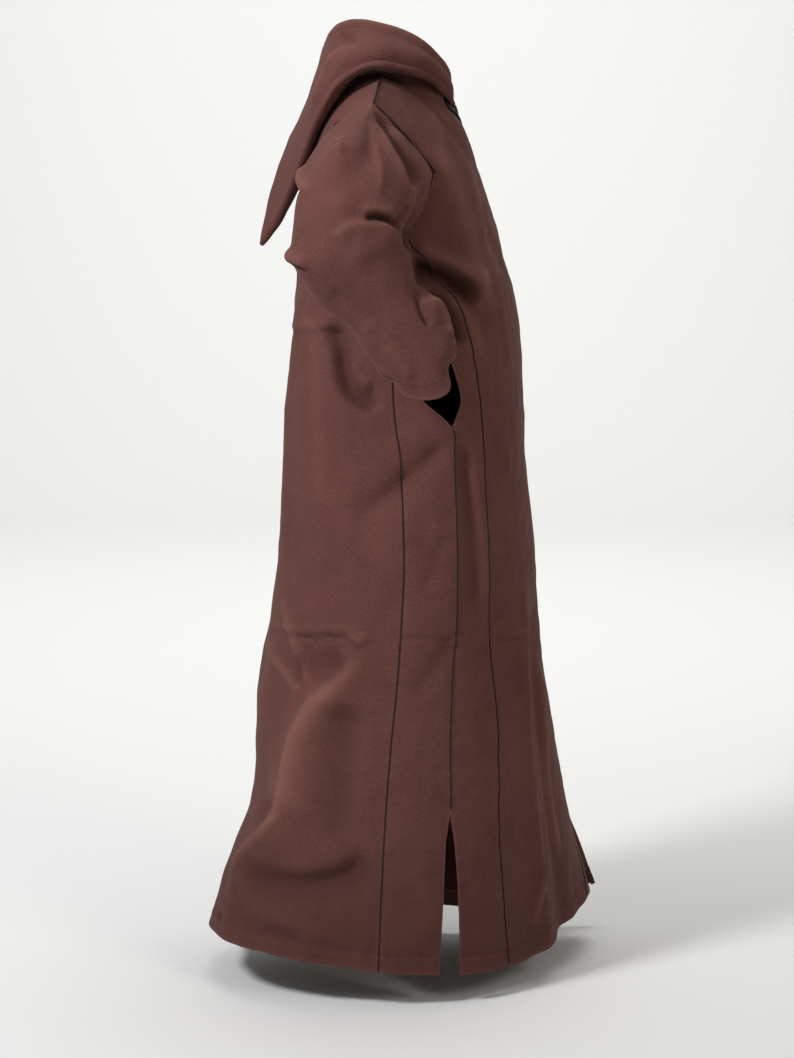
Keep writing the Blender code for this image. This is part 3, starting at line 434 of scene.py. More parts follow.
def crepe(name, colour, light, worn_and_highlight, painted_shade_colour):
    """Wool crepe: a matte pebbled twill with a soft nap, uneven in tone as piece-dyed wool is."""
    made = bpy.data.materials.new(name)
    made.use_nodes = True
    nodes, links = made.node_tree.nodes, made.node_tree.links
    surface = nodes["Principled BSDF"]
    surface.inputs["Roughness"].default_value = 0.88
    surface.inputs["Specular IOR Level"].default_value = 0.15
    surface.inputs["Sheen Weight"].default_value = 0.075
    surface.inputs["Sheen Roughness"].default_value = 0.42
    surface.inputs["Sheen Tint"].default_value = (1.0, 0.66, 0.54, 1)
    flat = nodes.new("ShaderNodeUVMap")
    flat.uv_map = "UVMap"
    place = nodes.new("ShaderNodeTexCoord")

    def noise(source, scale, detail, rough):
        made_noise = nodes.new("ShaderNodeTexNoise")
        made_noise.inputs["Scale"].default_value = scale
        made_noise.inputs["Detail"].default_value = detail
        made_noise.inputs["Roughness"].default_value = rough
        links.new(source, made_noise.inputs["Vector"])
        return made_noise.outputs["Fac"]

    def ramp(source, low, high, first, second):
        made_ramp = nodes.new("ShaderNodeMapRange")
        for socket, value in zip(("From Min", "From Max", "To Min", "To Max"),
                                 (low, high, first, second)):
            made_ramp.inputs[socket].default_value = value
        links.new(source, made_ramp.inputs["Value"])
        return made_ramp.outputs["Result"]

    def maths(kind, one, two):
        made_maths = nodes.new("ShaderNodeMath")
        made_maths.operation = kind
        for number, value in enumerate((one, two)):
            if isinstance(value, (int, float)):
                made_maths.inputs[number].default_value = value
            else:
                links.new(value, made_maths.inputs[number])
        return made_maths.outputs["Value"]

    def blend_colour(share, first, second):
        made_mix = nodes.new("ShaderNodeMix")
        made_mix.data_type = "RGBA"
        links.new(share, made_mix.inputs["Factor"])
        for socket, value in (("A", first), ("B", second)):
            entry = next(s for s in made_mix.inputs if s.name == socket and s.type == "RGBA")
            if isinstance(value, tuple):
                entry.default_value = value + (1,)
            else:
                links.new(value, entry)
        return next(s for s in made_mix.outputs if s.type == "RGBA")

    turn = nodes.new("ShaderNodeMapping")
    turn.inputs["Rotation"].default_value = (0, 0, math.radians(27))
    links.new(flat.outputs["UV"], turn.inputs["Vector"])
    twill = nodes.new("ShaderNodeTexWave")
    twill.inputs["Scale"].default_value = 260
    twill.inputs["Distortion"].default_value = 3.2
    twill.inputs["Detail"].default_value = 2
    twill.inputs["Detail Scale"].default_value = 2.4
    links.new(turn.outputs["Vector"], twill.inputs["Vector"])
    pebble = noise(flat.outputs["UV"], 620, 3, 0.62)
    nap = noise(flat.outputs["UV"], 2400, 2, 0.6)
    cloud = noise(place.outputs["Object"], 7.5, 6, 0.70)
    fleck = noise(flat.outputs["UV"], 300, 3, 0.7)
    grain = maths("ADD", maths("MULTIPLY", twill.outputs["Fac"], 0.30),
                  maths("ADD", maths("MULTIPLY", pebble, 0.75),
                        maths("ADD", maths("MULTIPLY", nap, 0.35),
                              maths("MULTIPLY", fleck, 0.70))))
    shade = maths("ADD", ramp(grain, 0.75, 1.35, -0.20, 0.20),
                  maths("ADD", ramp(cloud, 0.3, 0.7, -0.18, 0.18),
                        ramp(fleck, 0.35, 0.65, -0.16, 0.16)))
    base = blend_colour(ramp(shade, -0.4, 0.4, 0, 1), colour, light)
    # Mixed in from two attributes: a pale colour for wear on edges and seams and for a painted
    # highlight on ridges, and a dark colour for painted shade in folds, towards the hem and on the
    # inner face.
    rubbed_and_highlight, painted_shade = nodes.new("ShaderNodeAttribute"), nodes.new("ShaderNodeAttribute")
    rubbed_and_highlight.attribute_name, painted_shade.attribute_name = "rubbed_and_highlight", "painted_shade"
    share = maths("MULTIPLY", rubbed_and_highlight.outputs["Fac"], ramp(pebble, 0.35, 0.65, 0.45, 1.0))
    base = blend_colour(share, base, worn_and_highlight)
    links.new(blend_colour(painted_shade.outputs["Fac"], base, painted_shade_colour), surface.inputs["Base Color"])
    bump = nodes.new("ShaderNodeBump")
    bump.inputs["Strength"].default_value = 0.55
    bump.inputs["Distance"].default_value = 0.0005
    links.new(grain, bump.inputs["Height"])
    links.new(bump.outputs["Normal"], surface.inputs["Normal"])
    links.new(ramp(grain, 0.9, 1.4, 0.94, 0.80), surface.inputs["Roughness"])
    return made


BROWN = (0.076, 0.0275, 0.0228)
BROWN_LIGHT = (0.138, 0.0550, 0.0465)
# This pale colour is wear on edges and seams and also a painted highlight on ridges; the dark one
# after it is painted shade in folds, towards the hem and on the inner face.
BROWN_RUBBED_AND_HIGHLIGHT = (0.215, 0.094, 0.072)
BROWN_PAINTED_SHADE = (0.040, 0.0145, 0.0125)
cloth_brown = crepe("wool_crepe_brown", BROWN, BROWN_LIGHT, BROWN_RUBBED_AND_HIGHLIGHT, BROWN_PAINTED_SHADE)

# Creases of the body. Marks left by folding the robe for storage run level, and the rest hang from
# the arm, the pocket, the knee and the seams. In all three lists of creases the heights, widths and
# leans were chosen by eye, and most points were worked out by a separate program.
BODY_CREASES = [
    (-0.0280, 0.0150, [(-0.193, -0.018, -0.276), (-0.191, -0.044, -0.283), (-0.186, -0.070, -0.291),
                       (-0.173, -0.099, -0.306), (-0.149, -0.136, -0.332)], -0.25),
    (0.0090, 0.015, [(-0.195, -0.024, -0.252), (-0.191, -0.050, -0.262), (-0.182, -0.079, -0.275),
                     (-0.163, -0.112, -0.291), (-0.132, -0.149, -0.314)]),
    (0.0060, 0.012, [(-0.190, -0.063, -0.316), (-0.181, -0.094, -0.341), (-0.171, -0.122, -0.385),
                     (-0.164, -0.136, -0.434)]),
    (-0.0200, 0.012, [(-0.197, -0.037, -0.326), (-0.191, -0.070, -0.340), (-0.187, -0.089, -0.371),
                      (-0.183, -0.102, -0.409)]),
    (-0.0070, 0.0060, [(-0.193, -0.018, -0.284), (-0.192, -0.045, -0.290), (-0.183, -0.078, -0.300),
                       (-0.165, -0.111, -0.315), (-0.146, -0.139, -0.332)]),
    (0.0060, 0.022, [(-0.145, -0.063, -0.078), (-0.157, -0.089, -0.159), (-0.153, -0.119, -0.255),
                     (-0.138, -0.156, -0.370)]),
    (-0.0200, 0.017, [(-0.160, 0.121, -0.372), (-0.177, 0.096, -0.414), (-0.183, 0.091, -0.449),
                      (-0.192, 0.076, -0.484), (-0.200, 0.054, -0.500), (-0.206, 0.021, -0.509)],
     0.5),
    (0.0070, 0.010, [(-0.189, 0.073, -0.433), (-0.195, 0.063, -0.458), (-0.201, 0.041, -0.477)]),
    (-0.0040, 0.0045, [(-0.060, 0.178, -0.393), (-0.105, 0.161, -0.392), (-0.156, 0.123, -0.389),
                       (-0.182, 0.086, -0.386)]),
    (0.0026, 0.006, [(-0.060, 0.178, -0.381), (-0.105, 0.161, -0.380), (-0.156, 0.123, -0.377),
                     (-0.182, 0.086, -0.374)]),
    (0.0030, 0.018, [(-0.120, 0.147, -0.337), (-0.154, 0.129, -0.434), (-0.172, 0.123, -0.548),
                     (-0.176, 0.130, -0.696)]),
    (-0.0046, 0.0042, [(-0.060, 0.216, -0.893), (-0.120, 0.200, -0.892), (-0.175, 0.160, -0.891),
                       (-0.216, 0.093, -0.884), (-0.227, 0.051, -0.883)]),
    (0.0030, 0.006, [(-0.060, 0.216, -0.879), (-0.120, 0.200, -0.878), (-0.175, 0.160, -0.877),
                     (-0.216, 0.093, -0.870), (-0.227, 0.051, -0.869)]),
    (0.0034, 0.008, [(-0.219, 0.083, -0.875), (-0.228, 0.064, -0.887), (-0.227, 0.047, -0.880)]),
    (-0.0038, 0.0045, [(-0.175, -0.154, -0.891), (-0.138, -0.189, -0.899), (-0.116, -0.220, -0.901),
                       (-0.060, -0.242, -0.902)]),
    (0.0034, 0.006, [(-0.138, -0.189, -0.886), (-0.116, -0.220, -0.887), (-0.060, -0.242, -0.889)]),
    (-0.0075, 0.014, [(-0.191, -0.101, -0.556), (-0.187, -0.114, -0.639), (-0.188, -0.128, -0.744),
                      (-0.192, -0.127, -0.849)]),
    (-0.0060, 0.014, [(-0.197, -0.086, -0.567), (-0.206, -0.050, -0.597), (-0.210, -0.010, -0.628),
                      (-0.205, 0.057, -0.689)]),
    (-0.0045, 0.014, [(-0.210, -0.080, -0.713), (-0.216, -0.064, -0.760), (-0.222, -0.044, -0.810)]),
    (-0.0050, 0.016, [(-0.213, -0.095, -0.889), (-0.225, -0.062, -0.934), (-0.234, -0.021, -0.985)]),
    (-0.0030, 0.0040, [(-0.229, -0.002, -0.886), (-0.228, -0.038, -0.885), (-0.222, -0.070, -0.889),
                       (-0.211, -0.100, -0.890)]),
    (0.0040, 0.0034, [(-0.222, 0.077, -0.878), (-0.228, 0.062, -0.888), (-0.229, 0.047, -0.893)]),
    (-0.0038, 0.0032, [(-0.223, 0.078, -0.889), (-0.229, 0.065, -0.898), (-0.229, 0.054, -0.908)]),
    (0.0038, 0.0034, [(-0.225, 0.059, -0.871), (-0.227, 0.051, -0.880), (-0.228, 0.039, -0.885)]),
    (-0.0080, 0.022, [(-0.175, 0.172, -0.930), (-0.205, 0.130, -0.935), (-0.225, 0.085, -0.915)]),
    (0.0085, 0.009, [(-0.117, 0.191, -0.834), (-0.138, 0.183, -0.860), (-0.165, 0.171, -0.897),
                     (-0.189, 0.153, -0.940), (-0.202, 0.140, -0.974)], 0.4),
    (0.0085, 0.009, [(-0.070, 0.219, -0.914), (-0.139, 0.199, -0.936), (-0.170, 0.177, -0.960),
                     (-0.196, 0.152, -0.992)]),
    (0.0125, 0.016, [(-0.229, 0.054, -0.900), (-0.227, 0.074, -0.933), (-0.220, 0.107, -0.971),
                     (-0.206, 0.137, -1.004), (-0.198, 0.157, -1.042), (-0.188, 0.171, -1.087),
                     (-0.182, 0.180, -1.130), (-0.178, 0.188, -1.169), (-0.165, 0.209, -1.209),
                     (-0.146, 0.236, -1.245)], 0.45),
    (0.0080, 0.045, [(-0.225, 0.090, -0.950), (-0.198, 0.157, -1.042), (-0.182, 0.180, -1.130),
                     (-0.172, 0.200, -1.190)]),
    (-0.0120, 0.028, [(-0.228, 0.067, -0.986), (-0.228, 0.084, -1.061), (-0.228, 0.094, -1.145),
                      (-0.230, 0.104, -1.237)], -0.3),
    (0.0080, 0.011, [(-0.095, 0.280, -1.300), (-0.128, 0.252, -1.260), (-0.161, 0.216, -1.221),
                     (-0.183, 0.185, -1.184)], 0.3),
    (-0.0170, 0.025, [(-0.121, 0.266, -1.297), (-0.188, 0.209, -1.299), (-0.222, 0.141, -1.297),
                      (-0.237, 0.081, -1.276), (-0.241, 0.044, -1.238)], -0.45),
    (-0.0060, 0.013, [(-0.117, 0.284, -1.372), (-0.191, 0.219, -1.384), (-0.224, 0.153, -1.392)]),
    (0.0060, 0.006, [(-0.058, 0.306, -1.360), (-0.104, 0.295, -1.372), (-0.136, 0.283, -1.390)]),
    (-0.0035, 0.008, [(-0.117, 0.277, -1.326), (-0.139, 0.269, -1.344), (-0.163, 0.254, -1.367)]),
    (0.0100, 0.0110, [(-0.017, -0.239, -0.951), (-0.012, -0.247, -1.011), (-0.017, -0.251, -1.072),
                      (-0.026, -0.258, -1.191), (-0.021, -0.269, -1.256), (-0.011, -0.284, -1.316)]),
    (0.0060, 0.0090, [(-0.125, -0.231, -1.400), (-0.115, -0.240, -1.358), (-0.100, -0.253, -1.324),
                      (-0.062, -0.260, -1.281)]),
    (-0.0040, 0.016, [(-0.060, -0.232, -0.960), (-0.066, -0.236, -1.060), (-0.082, -0.240, -1.200),
                      (-0.078, -0.250, -1.310), (-0.070, -0.260, -1.389)]),
    (0.0022, 0.0110, [(-0.090, -0.061, -0.027), (-0.134, -0.073, -0.078), (-0.155, -0.079, -0.126),
                      (-0.169, -0.079, -0.175)]),
    (0.0022, 0.0130, [(-0.090, -0.107, -0.092), (-0.105, -0.127, -0.158), (-0.115, -0.140, -0.223),
                      (-0.130, -0.146, -0.288)]),
    (0.0016, 0.0120, [(-0.109, -0.170, -0.338), (-0.102, -0.184, -0.404), (-0.096, -0.191, -0.471)]),
    (0.0020, 0.0080, [(-0.130, 0.140, -0.318), (-0.122, 0.147, -0.354), (-0.117, 0.154, -0.395),
                      (-0.113, 0.161, -0.437)]),
]

# On the left side, where nothing presses on the cloth, the same kinds of folds lie a little apart.
BODY_CREASES += [(height * 0.85, width * 1.1, [(-x * 0.96, y * 0.97 + 0.006, z - 0.021)
                                               for x, y, z in line], *lean)
                 for height, width, line, *lean in BODY_CREASES]

BODY = {          # node: rows and columns of its solid, fine rows and columns, flat size, area
    "front_panel": (36, 23, 300, 144, (0.68, 1.56), 0.59),
    "back_panel": (36, 23, 300, 144, (1.09, 1.68), 1.03),
    "front_gore_right": (26, 4, 240, 18, (0.105, 1.27), 0.088),
    "front_gore_left": (26, 4, 240, 18, (0.105, 1.25), 0.088),
    "back_gore_right": (26, 4, 240, 18, (0.11, 1.26), 0.107),
    "back_gore_left": (26, 4, 240, 18, (0.165, 1.26), 0.121),
}
BODY_NUDGES = [       # place, reach and move: the right side of the neck sags open
    ((-0.045, -0.092, -0.010), 0.028, (0.0, 0.0090, -0.0090)),
]
SWELL, SWELL_SIZE = 0.0015, 0.11               # slack left in the cloth, and how wide it swells
SMALL_SWELL, SMALL_SIZE = SWELL * 0.6, 0.040
SEAM_SINK, SEAM_WIDTH = 0.0008, 0.0045         # a seam pulls the cloth in, over this width
PUCKER, PUCKER_REACH, PUCKER_SIZE = 0.0008, 0.012, 0.018      # small gathers beside a seam
HEM_UP, HEM_ROWS = 0.030, 6  # the hem's stitch line above its edge, and rows turned up inside it
HEM_PUCKER, HEM_REACH, HEM_SIZE = 0.0026, 0.011, 0.024        # and along the hem's stitches
HEM_GROOVE, GROOVE_REACH = 0.0016, 0.004       # the stitches pull a groove into the hem
HEM_WAVE, WAVE_REACH, WAVE_SIZE = 0.0042, 0.09, 0.13   # the hem swings, up to this height
EDGE_RUB, EDGE_REACH = 0.55, 0.004             # how far a turned edge is rubbed pale
SEAM_RUB, SEAM_REACH = 0.36, 0.0035            # and the cloth along a seam
HEM_PAINTED_SHADE, HEM_SHADE_REACH = 0.42, 0.19              # painted shade: darker towards the hem
RIDGE_RUB_AND_HIGHLIGHT, FOLD_PAINTED_SHADE = 54, 22                  # per metre of relief: ridges rubbed pale with a painted highlight, folds painted shade
OPEN_EDGE = 0.006            # cloth turned under along the slits and the pockets
SLIT_PARTS, SLIT_EASE = 0.0032, 0.003          # edges further apart than this are hemmed
SLIT_ROWS = 8                # a shorter opening than this gets no stitches
EDGE_STITCH = 0.005          # stitch line inside the edge of a slit or an armhole
# Heights between which the armholes are stitched: at the front only as far up as the cord's end.
ARMHOLE_LOW, ARMHOLE_TOP, ARMHOLE_CORD_END = -0.222, -0.030, -0.136

body = {}
for name, (rows, columns, fine_rows, fine_columns, *_) in BODY.items():
    grid, turned = cloth_grid(name, rows, columns)
    grid = nudged(finer(grid, fine_rows, fine_columns), BODY_NUDGES, 1)
    normals = outward(grid, turned)
    across, down = cut_lengths(grid)
    relief = creased(grid, BODY_CREASES)
    lift = relief + SWELL * waves(grid[..., 0] + grid[..., 1], grid[..., 2] * 0.45, SWELL_SIZE, 5)
    lift += SMALL_SWELL * waves(grid[..., 0] - grid[..., 1], grid[..., 2] * 0.7, SMALL_SIZE, 6)
    edge = np.minimum(across, across[:, -1:] - across)
    lift -= SEAM_SINK * bell(edge, SEAM_WIDTH)
    lift += PUCKER * bell(edge, PUCKER_REACH) * waves(grid[..., 2], grid[..., 2] * 0.5,
                                                      PUCKER_SIZE, 11)
    foot = down[-1:] - down
    round_hem = grid[..., 0] + grid[..., 1]
    lift += HEM_PUCKER * bell(foot - HEM_UP, HEM_REACH) * waves(round_hem, foot * 0.3,
                                                                HEM_SIZE, 31)
    lift -= HEM_GROOVE * bell(foot - HEM_UP, GROOVE_REACH)
    lift += HEM_WAVE * bell(foot, WAVE_REACH) * waves(round_hem, foot * 0.1, WAVE_SIZE, 37)
    grid = grid + normals * lift[..., None]
    body[name] = grid, outward(grid, turned), turned, foot, across, edge, relief


def beside_edge(name, side):
    """The points and normals of a stitch line along a side edge of a piece: column 0 or -1."""
    grid, normals, _, _, across, *_ = body[name]
    strip = slice(None, None, 1 if side == -1 else -1)
    from_edge = (across[:, -1:] - across if side == -1 else across).T[strip]
    return inset_line(grid.swapaxes(0, 1)[strip], normals.swapaxes(0, 1)[strip], from_edge,
                      EDGE_STITCH)


sewn = []                    # lines of stitches: points and normals along each
for name, (*_, flat, area) in BODY.items():
    grid, normals, turned, foot, _, edge, relief = body[name]
    sewn.append(inset_line(grid, normals, foot, HEM_UP))
    if "gore" in name:
        half, rest = name.split("_", 1)
        twin = {"front": "back_", "back": "front_"}[half] + rest
        ahead = 0 if grid[:, 0, 1].mean() < grid[:, -1, 1].mean() else -1
        free = -1 - ahead if "front" in name else ahead
        facing = body[twin][0][:, 0 if free == -1 else -1]
        apart = np.linalg.norm(grid[:, free, None] - facing[None], axis=2).min(axis=1)
        opened = np.clip((apart - SLIT_PARTS) / SLIT_EASE, 0, 1)
        points, out = beside_edge(name, free)
        start = None
        for number, is_open in enumerate(list(opened > 0.5) + [False]):
            if is_open and start is None:
                start = number
            elif not is_open and start is not None:
                if number - start > SLIT_ROWS:
                    sewn.append((points[start:number], out[start:number]))
                start = None
    else:
        for side in (0, -1):
            points, out = beside_edge(name, side)
            top = ARMHOLE_CORD_END if name == "front_panel" else ARMHOLE_TOP
            near = (points[:, 2] > ARMHOLE_LOW) & (points[:, 2] < top)
            sewn.append((points[near], out[near]))
    grid, normals = turn_up(grid, normals, HEM_ROWS)
    added = ((0, len(grid) - len(foot)), (0, 0))
    if "gore" in name:
        opened = np.pad(opened, added[0], mode="edge")
        for column, share in ((free, opened), (-1 - free, opened * 0)):
            reach = ALLOWANCE - share * (ALLOWANCE + OPEN_EDGE)
            first, second = seam_allowance(grid[:, column], grid[:, 1 if column == 0 else -2],
                                           normals[:, column], reach, share)
            pair = [second, first] if column == 0 else [first, second]
            place = [0, 0] if column == 0 else [grid.shape[1]] * 2
            grid = np.insert(grid, place, np.stack(pair, axis=1), axis=1)
            normals = np.insert(normals, place, normals[:, column][:, None], axis=1)
        added = (added[0], (2, 2))
    piece = make_cloth("cloth_" + name, grid, turned)
    # Ridges are rubbed pale as wear and as a painted highlight; folds and the hem get painted shade.
    rubbed_and_highlight = EDGE_RUB * bell(foot, EDGE_REACH) + relief * RIDGE_RUB_AND_HIGHLIGHT
    rubbed_and_highlight += SEAM_RUB * bell(edge, SEAM_REACH)
    set_wear_and_painted_light(piece, rubbed_and_highlight, HEM_PAINTED_SHADE * bell(foot, HEM_SHADE_REACH) - relief * FOLD_PAINTED_SHADE, added)
    piece.data.materials.append(cloth_brown)
    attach(piece, "root")
    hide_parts(name)

# --- Sleeves ---------------------------------------------------------------------------------
# Each sleeve is one folded piece of the same crepe, its seam underneath, set into the armhole and
# left wide at the cuff. It wraps the bent elbow in deep creases at the inside of the arm.

SLEEVE_RINGS, SLEEVE_COLUMNS = 14, 20
SLEEVE_FINE = (146, 150)
CAP_FADE = 0.012             # the creases reach their full height this far from the armhole
CUFF_ROWS, CUFF_STITCH = 6, 0.022
CUFF_PUCKER, CUFF_REACH, CUFF_SIZE = HEM_PUCKER * 0.6, 0.009, 0.022
SLEEVE_SWELL_SIZE = 0.07
SLEEVE_CREASES = [
    (-0.0160, 0.0056, [(-0.346, 0.052, -0.203), (-0.345, 0.045, -0.204), (-0.342, 0.033, -0.204),
                       (-0.335, 0.019, -0.207), (-0.325, 0.003, -0.213), (-0.314, -0.006, -0.219)]),
    (0.0045, 0.0080, [(-0.346, 0.054, -0.193), (-0.342, 0.039, -0.192), (-0.335, 0.020, -0.195),
                      (-0.324, 0.002, -0.201)]),
    (0.0075, 0.0110, [(-0.354, 0.100, -0.240), (-0.354, 0.073, -0.219), (-0.346, 0.042, -0.216),
                      (-0.333, 0.014, -0.223), (-0.322, -0.002, -0.238)], -0.4),
    (0.0060, 0.0070, [(-0.218, 0.041, -0.029), (-0.243, 0.028, -0.059), (-0.286, 0.011, -0.093),
                      (-0.296, -0.008, -0.127), (-0.297, -0.017, -0.155), (-0.300, -0.019, -0.177)],
     -0.45),
    (-0.0185, 0.0145, [(-0.214, 0.030, -0.037), (-0.250, 0.008, -0.070), (-0.273, -0.014, -0.102),
                       (-0.278, -0.025, -0.133), (-0.288, -0.025, -0.161)]),
    (0.0032, 0.0065, [(-0.250, 0.041, -0.051), (-0.298, 0.031, -0.100), (-0.318, 0.026, -0.131),
                      (-0.335, 0.026, -0.174)]),
    (-0.0075, 0.0055, [(-0.323, 0.002, -0.211), (-0.313, -0.008, -0.199), (-0.301, -0.019, -0.186)]),
    (-0.0075, 0.0052, [(-0.322, -0.025, -0.318), (-0.326, -0.030, -0.326), (-0.331, -0.033, -0.337),
                       (-0.336, -0.037, -0.350), (-0.338, -0.044, -0.364), (-0.336, -0.054, -0.375)],
     0.5),
    (0.0030, 0.0110, [(-0.318, -0.042, -0.329), (-0.320, -0.052, -0.342), (-0.325, -0.058, -0.357),
                      (-0.328, -0.064, -0.372)]),
    (0.0070, 0.0090, [(-0.311, -0.049, -0.329), (-0.304, -0.064, -0.342), (-0.305, -0.077, -0.364),
                      (-0.318, -0.086, -0.392)]),
    (0.0090, 0.0110, [(-0.250, 0.166, -0.262), (-0.275, 0.168, -0.264), (-0.303, 0.165, -0.266),
                      (-0.325, 0.152, -0.271), (-0.340, 0.132, -0.279)], 0.35),
    (-0.0070, 0.0052, [(-0.290, 0.162, -0.277), (-0.318, 0.154, -0.281), (-0.334, 0.140, -0.288)]),
    (0.0115, 0.0090, [(-0.228, 0.146, -0.126), (-0.250, 0.149, -0.138), (-0.268, 0.149, -0.148),
                      (-0.290, 0.144, -0.158), (-0.312, 0.130, -0.168)], 0.5),
    (-0.0150, 0.0055, [(-0.240, 0.147, -0.148), (-0.256, 0.148, -0.158), (-0.272, 0.148, -0.166),
                       (-0.292, 0.143, -0.173)]),
    (-0.0035, 0.0150, [(-0.343, 0.104, -0.316), (-0.345, 0.073, -0.339), (-0.347, 0.039, -0.370)]),
    (0.0030, 0.0100, [(-0.348, 0.019, -0.401), (-0.349, -0.005, -0.424), (-0.349, -0.023, -0.456)]),
    (0.0040, 0.0120, [(-0.300, 0.120, -0.150), (-0.325, 0.100, -0.175), (-0.340, 0.080, -0.200)]),
]

SLEEVE_NUDGES = [     # cuff drawn in, elbow blunted, notch inside the arm, cap drawn back
    ((-0.322, -0.098, -0.446), 0.027, (0.0, 0.0220, 0.0100)),
    ((-0.325, 0.010, -0.470), 0.018, (0.0, -0.0040, 0.0100)),
    ((-0.298, 0.178, -0.246), 0.015, (0.0, -0.0075, 0.0)),
    ((-0.298, 0.168, -0.265), 0.015, (0.0, 0.0030, 0.0010)),
    ((-0.318, -0.034, -0.316), 0.010, (0.0, 0.0070, -0.0020)),
    ((-0.306, -0.060, -0.340), 0.014, (0.0, -0.0050, 0.0020)),
    ((-0.312, -0.086, -0.372), 0.012, (0.0, 0.0040, 0.0010)),
    ((-0.246, -0.034, -0.094), 0.028, (0.0, 0.0095, -0.0010)),
]


for side, mirror in (("right", 1), ("left", -1)):
    name = "sleeve_" + side
    grid, turned = cloth_grid(name, SLEEVE_RINGS, SLEEVE_COLUMNS, closed=True)
    grid = nudged(finer(grid, *SLEEVE_FINE, closed=True), SLEEVE_NUDGES, mirror)
    normals = outward(grid, turned, closed=True)
    across, down = cut_lengths(grid, closed=True)
    across, down = across[:, :-1], down[:, :-1]
    foot = down[-1:] - down
    relief = creased(grid, mirrored(SLEEVE_CREASES, mirror)) * np.clip(down / CAP_FADE, 0, 1)
    lift = relief + SWELL * waves(grid[..., 1] * 1.5, grid[..., 2], SLEEVE_SWELL_SIZE, 31 + mirror)
    lift -= SEAM_SINK * bell(down, SEAM_WIDTH)
    lift += PUCKER * bell(down, PUCKER_REACH) * waves(across, down, PUCKER_SIZE, 33)
    lift += CUFF_PUCKER * bell(foot - CUFF_STITCH, CUFF_REACH) * waves(across, foot * 0.3,
                                                                       CUFF_SIZE, 35)
    grid = grid + normals * lift[..., None]
    normals = outward(grid, turned, closed=True)
    points, out = inset_line(grid, normals, foot, CUFF_STITCH)
    sewn.append((np.concatenate([points, points[:1]]), np.concatenate([out, out[:1]])))
    first, second = seam_allowance(grid[0], grid[1], normals[0])
    grid, normals = turn_up(grid, normals, CUFF_ROWS)
    added = ((2, len(grid) - len(foot)), (0, 0))
    grid = np.concatenate([[second, first], grid])
    piece = make_cloth("cloth_" + name, grid, turned, closed=True)
    # Ridges are rubbed pale as wear and as a painted highlight; folds get painted shade.
    rubbed_and_highlight = EDGE_RUB * bell(foot, EDGE_REACH) + relief * RIDGE_RUB_AND_HIGHLIGHT
    rubbed_and_highlight += SEAM_RUB * bell(down, SEAM_REACH)
    set_wear_and_painted_light(piece, rubbed_and_highlight, -relief * FOLD_PAINTED_SHADE, added)
    piece.data.materials.append(cloth_brown)
    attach(piece, "root")
    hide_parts(name)

# --- Hood ------------------------------------------------------------------------------------
# Two halves of crepe joined on a seam down the back, worn down: it folds over at the nape, lies on
# the shoulders and hangs behind in a long point. Its rim is turned in and stitched.

HOOD_ROWS, HOOD_COLUMNS = 19, 16
HOOD_FINE = (104, 130)
RIM_ROWS, RIM_STITCH, RIM_REACH = 6, 0.014, 0.007
HOOD_SWELL, HOOD_SWELL_SIZE = SWELL * 0.7, 0.08
BACK_SEAM, BACK_REACH = 0.0012, 0.004          # the seam down the back pulls the cloth in
HOOD_CREASES = [      # the rim's roll, the fold over the nape and the folds that fall from it
    (0.0070, 0.008, [(-0.111, 0.139, -0.025), (-0.114, 0.132, -0.006), (-0.119, 0.122, 0.020),
                     (-0.118, 0.112, 0.040), (-0.131, 0.096, 0.057), (-0.132, 0.073, 0.076)], 0.4),
    (-0.0012, 0.005, [(-0.094, 0.092, 0.091), (-0.118, 0.078, 0.082), (-0.141, 0.060, 0.075),
                      (-0.157, 0.040, 0.065)]),
    (0.0045, 0.012, [(-0.143, 0.053, 0.077), (-0.142, 0.083, 0.060), (-0.124, 0.109, 0.042)]),
    (-0.0035, 0.007, [(-0.084, 0.097, 0.093), (-0.112, 0.080, 0.086), (-0.138, 0.062, 0.077)]),
]

HOOD_NUDGES = [       # the rim's front end drawn back, and the rim laid down on the shoulder
    ((-0.033, -0.110, -0.012), 0.034, (0.0, 0.0120, 0.0020)),
    ((-0.126, -0.012, 0.030), 0.034, (0.0, 0.0, -0.0055)),
    ((-0.078, -0.066, 0.004), 0.030, (0.0, 0.0, -0.0050)),
]

for side, mirror in (("right", 1), ("left", -1)):
    name = "hood_" + side
    grid, turned = cloth_grid(name, HOOD_ROWS, HOOD_COLUMNS)
    grid, turned = finer(grid.swapaxes(0, 1), *HOOD_FINE), not turned
    grid = nudged(grid, HOOD_NUDGES, mirror)
    normals = outward(grid, turned)
    across, down = cut_lengths(grid)
    foot = down[-1:] - down
    relief = creased(grid, mirrored(HOOD_CREASES, mirror))
    lift = relief + HOOD_SWELL * waves(grid[..., 1] * 1.5, grid[..., 2], HOOD_SWELL_SIZE, 41)
    lift -= BACK_SEAM * bell(grid[..., 0], BACK_REACH)
    lift += PUCKER * bell(foot - RIM_STITCH, RIM_REACH) * waves(across, foot, PUCKER_SIZE, 43)
    grid = grid + normals * lift[..., None]
    normals = outward(grid, turned)
    sewn.append(inset_line(grid, normals, foot, RIM_STITCH))
    grid, normals = turn_up(grid, normals, RIM_ROWS)
    added = ((0, len(grid) - len(foot)), (0, 0))
    piece = make_cloth("cloth_" + name, grid, turned)
    # Ridges are rubbed pale as wear and as a painted highlight; folds get painted shade.
    rubbed_and_highlight = EDGE_RUB * bell(foot, EDGE_REACH) + relief * RIDGE_RUB_AND_HIGHLIGHT
    set_wear_and_painted_light(piece, rubbed_and_highlight, -relief * FOLD_PAINTED_SHADE, added)
    piece.data.materials.append(cloth_brown)
    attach(piece, "root")
    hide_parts(name)

# --- Cord in the seams -------------------------------------------------------------------------
# Two-ply charcoal cord about 3 mm thick, sewn into the shoulder, armhole, front, side and back
# seams of each side, so that it shows as a dark raised line.

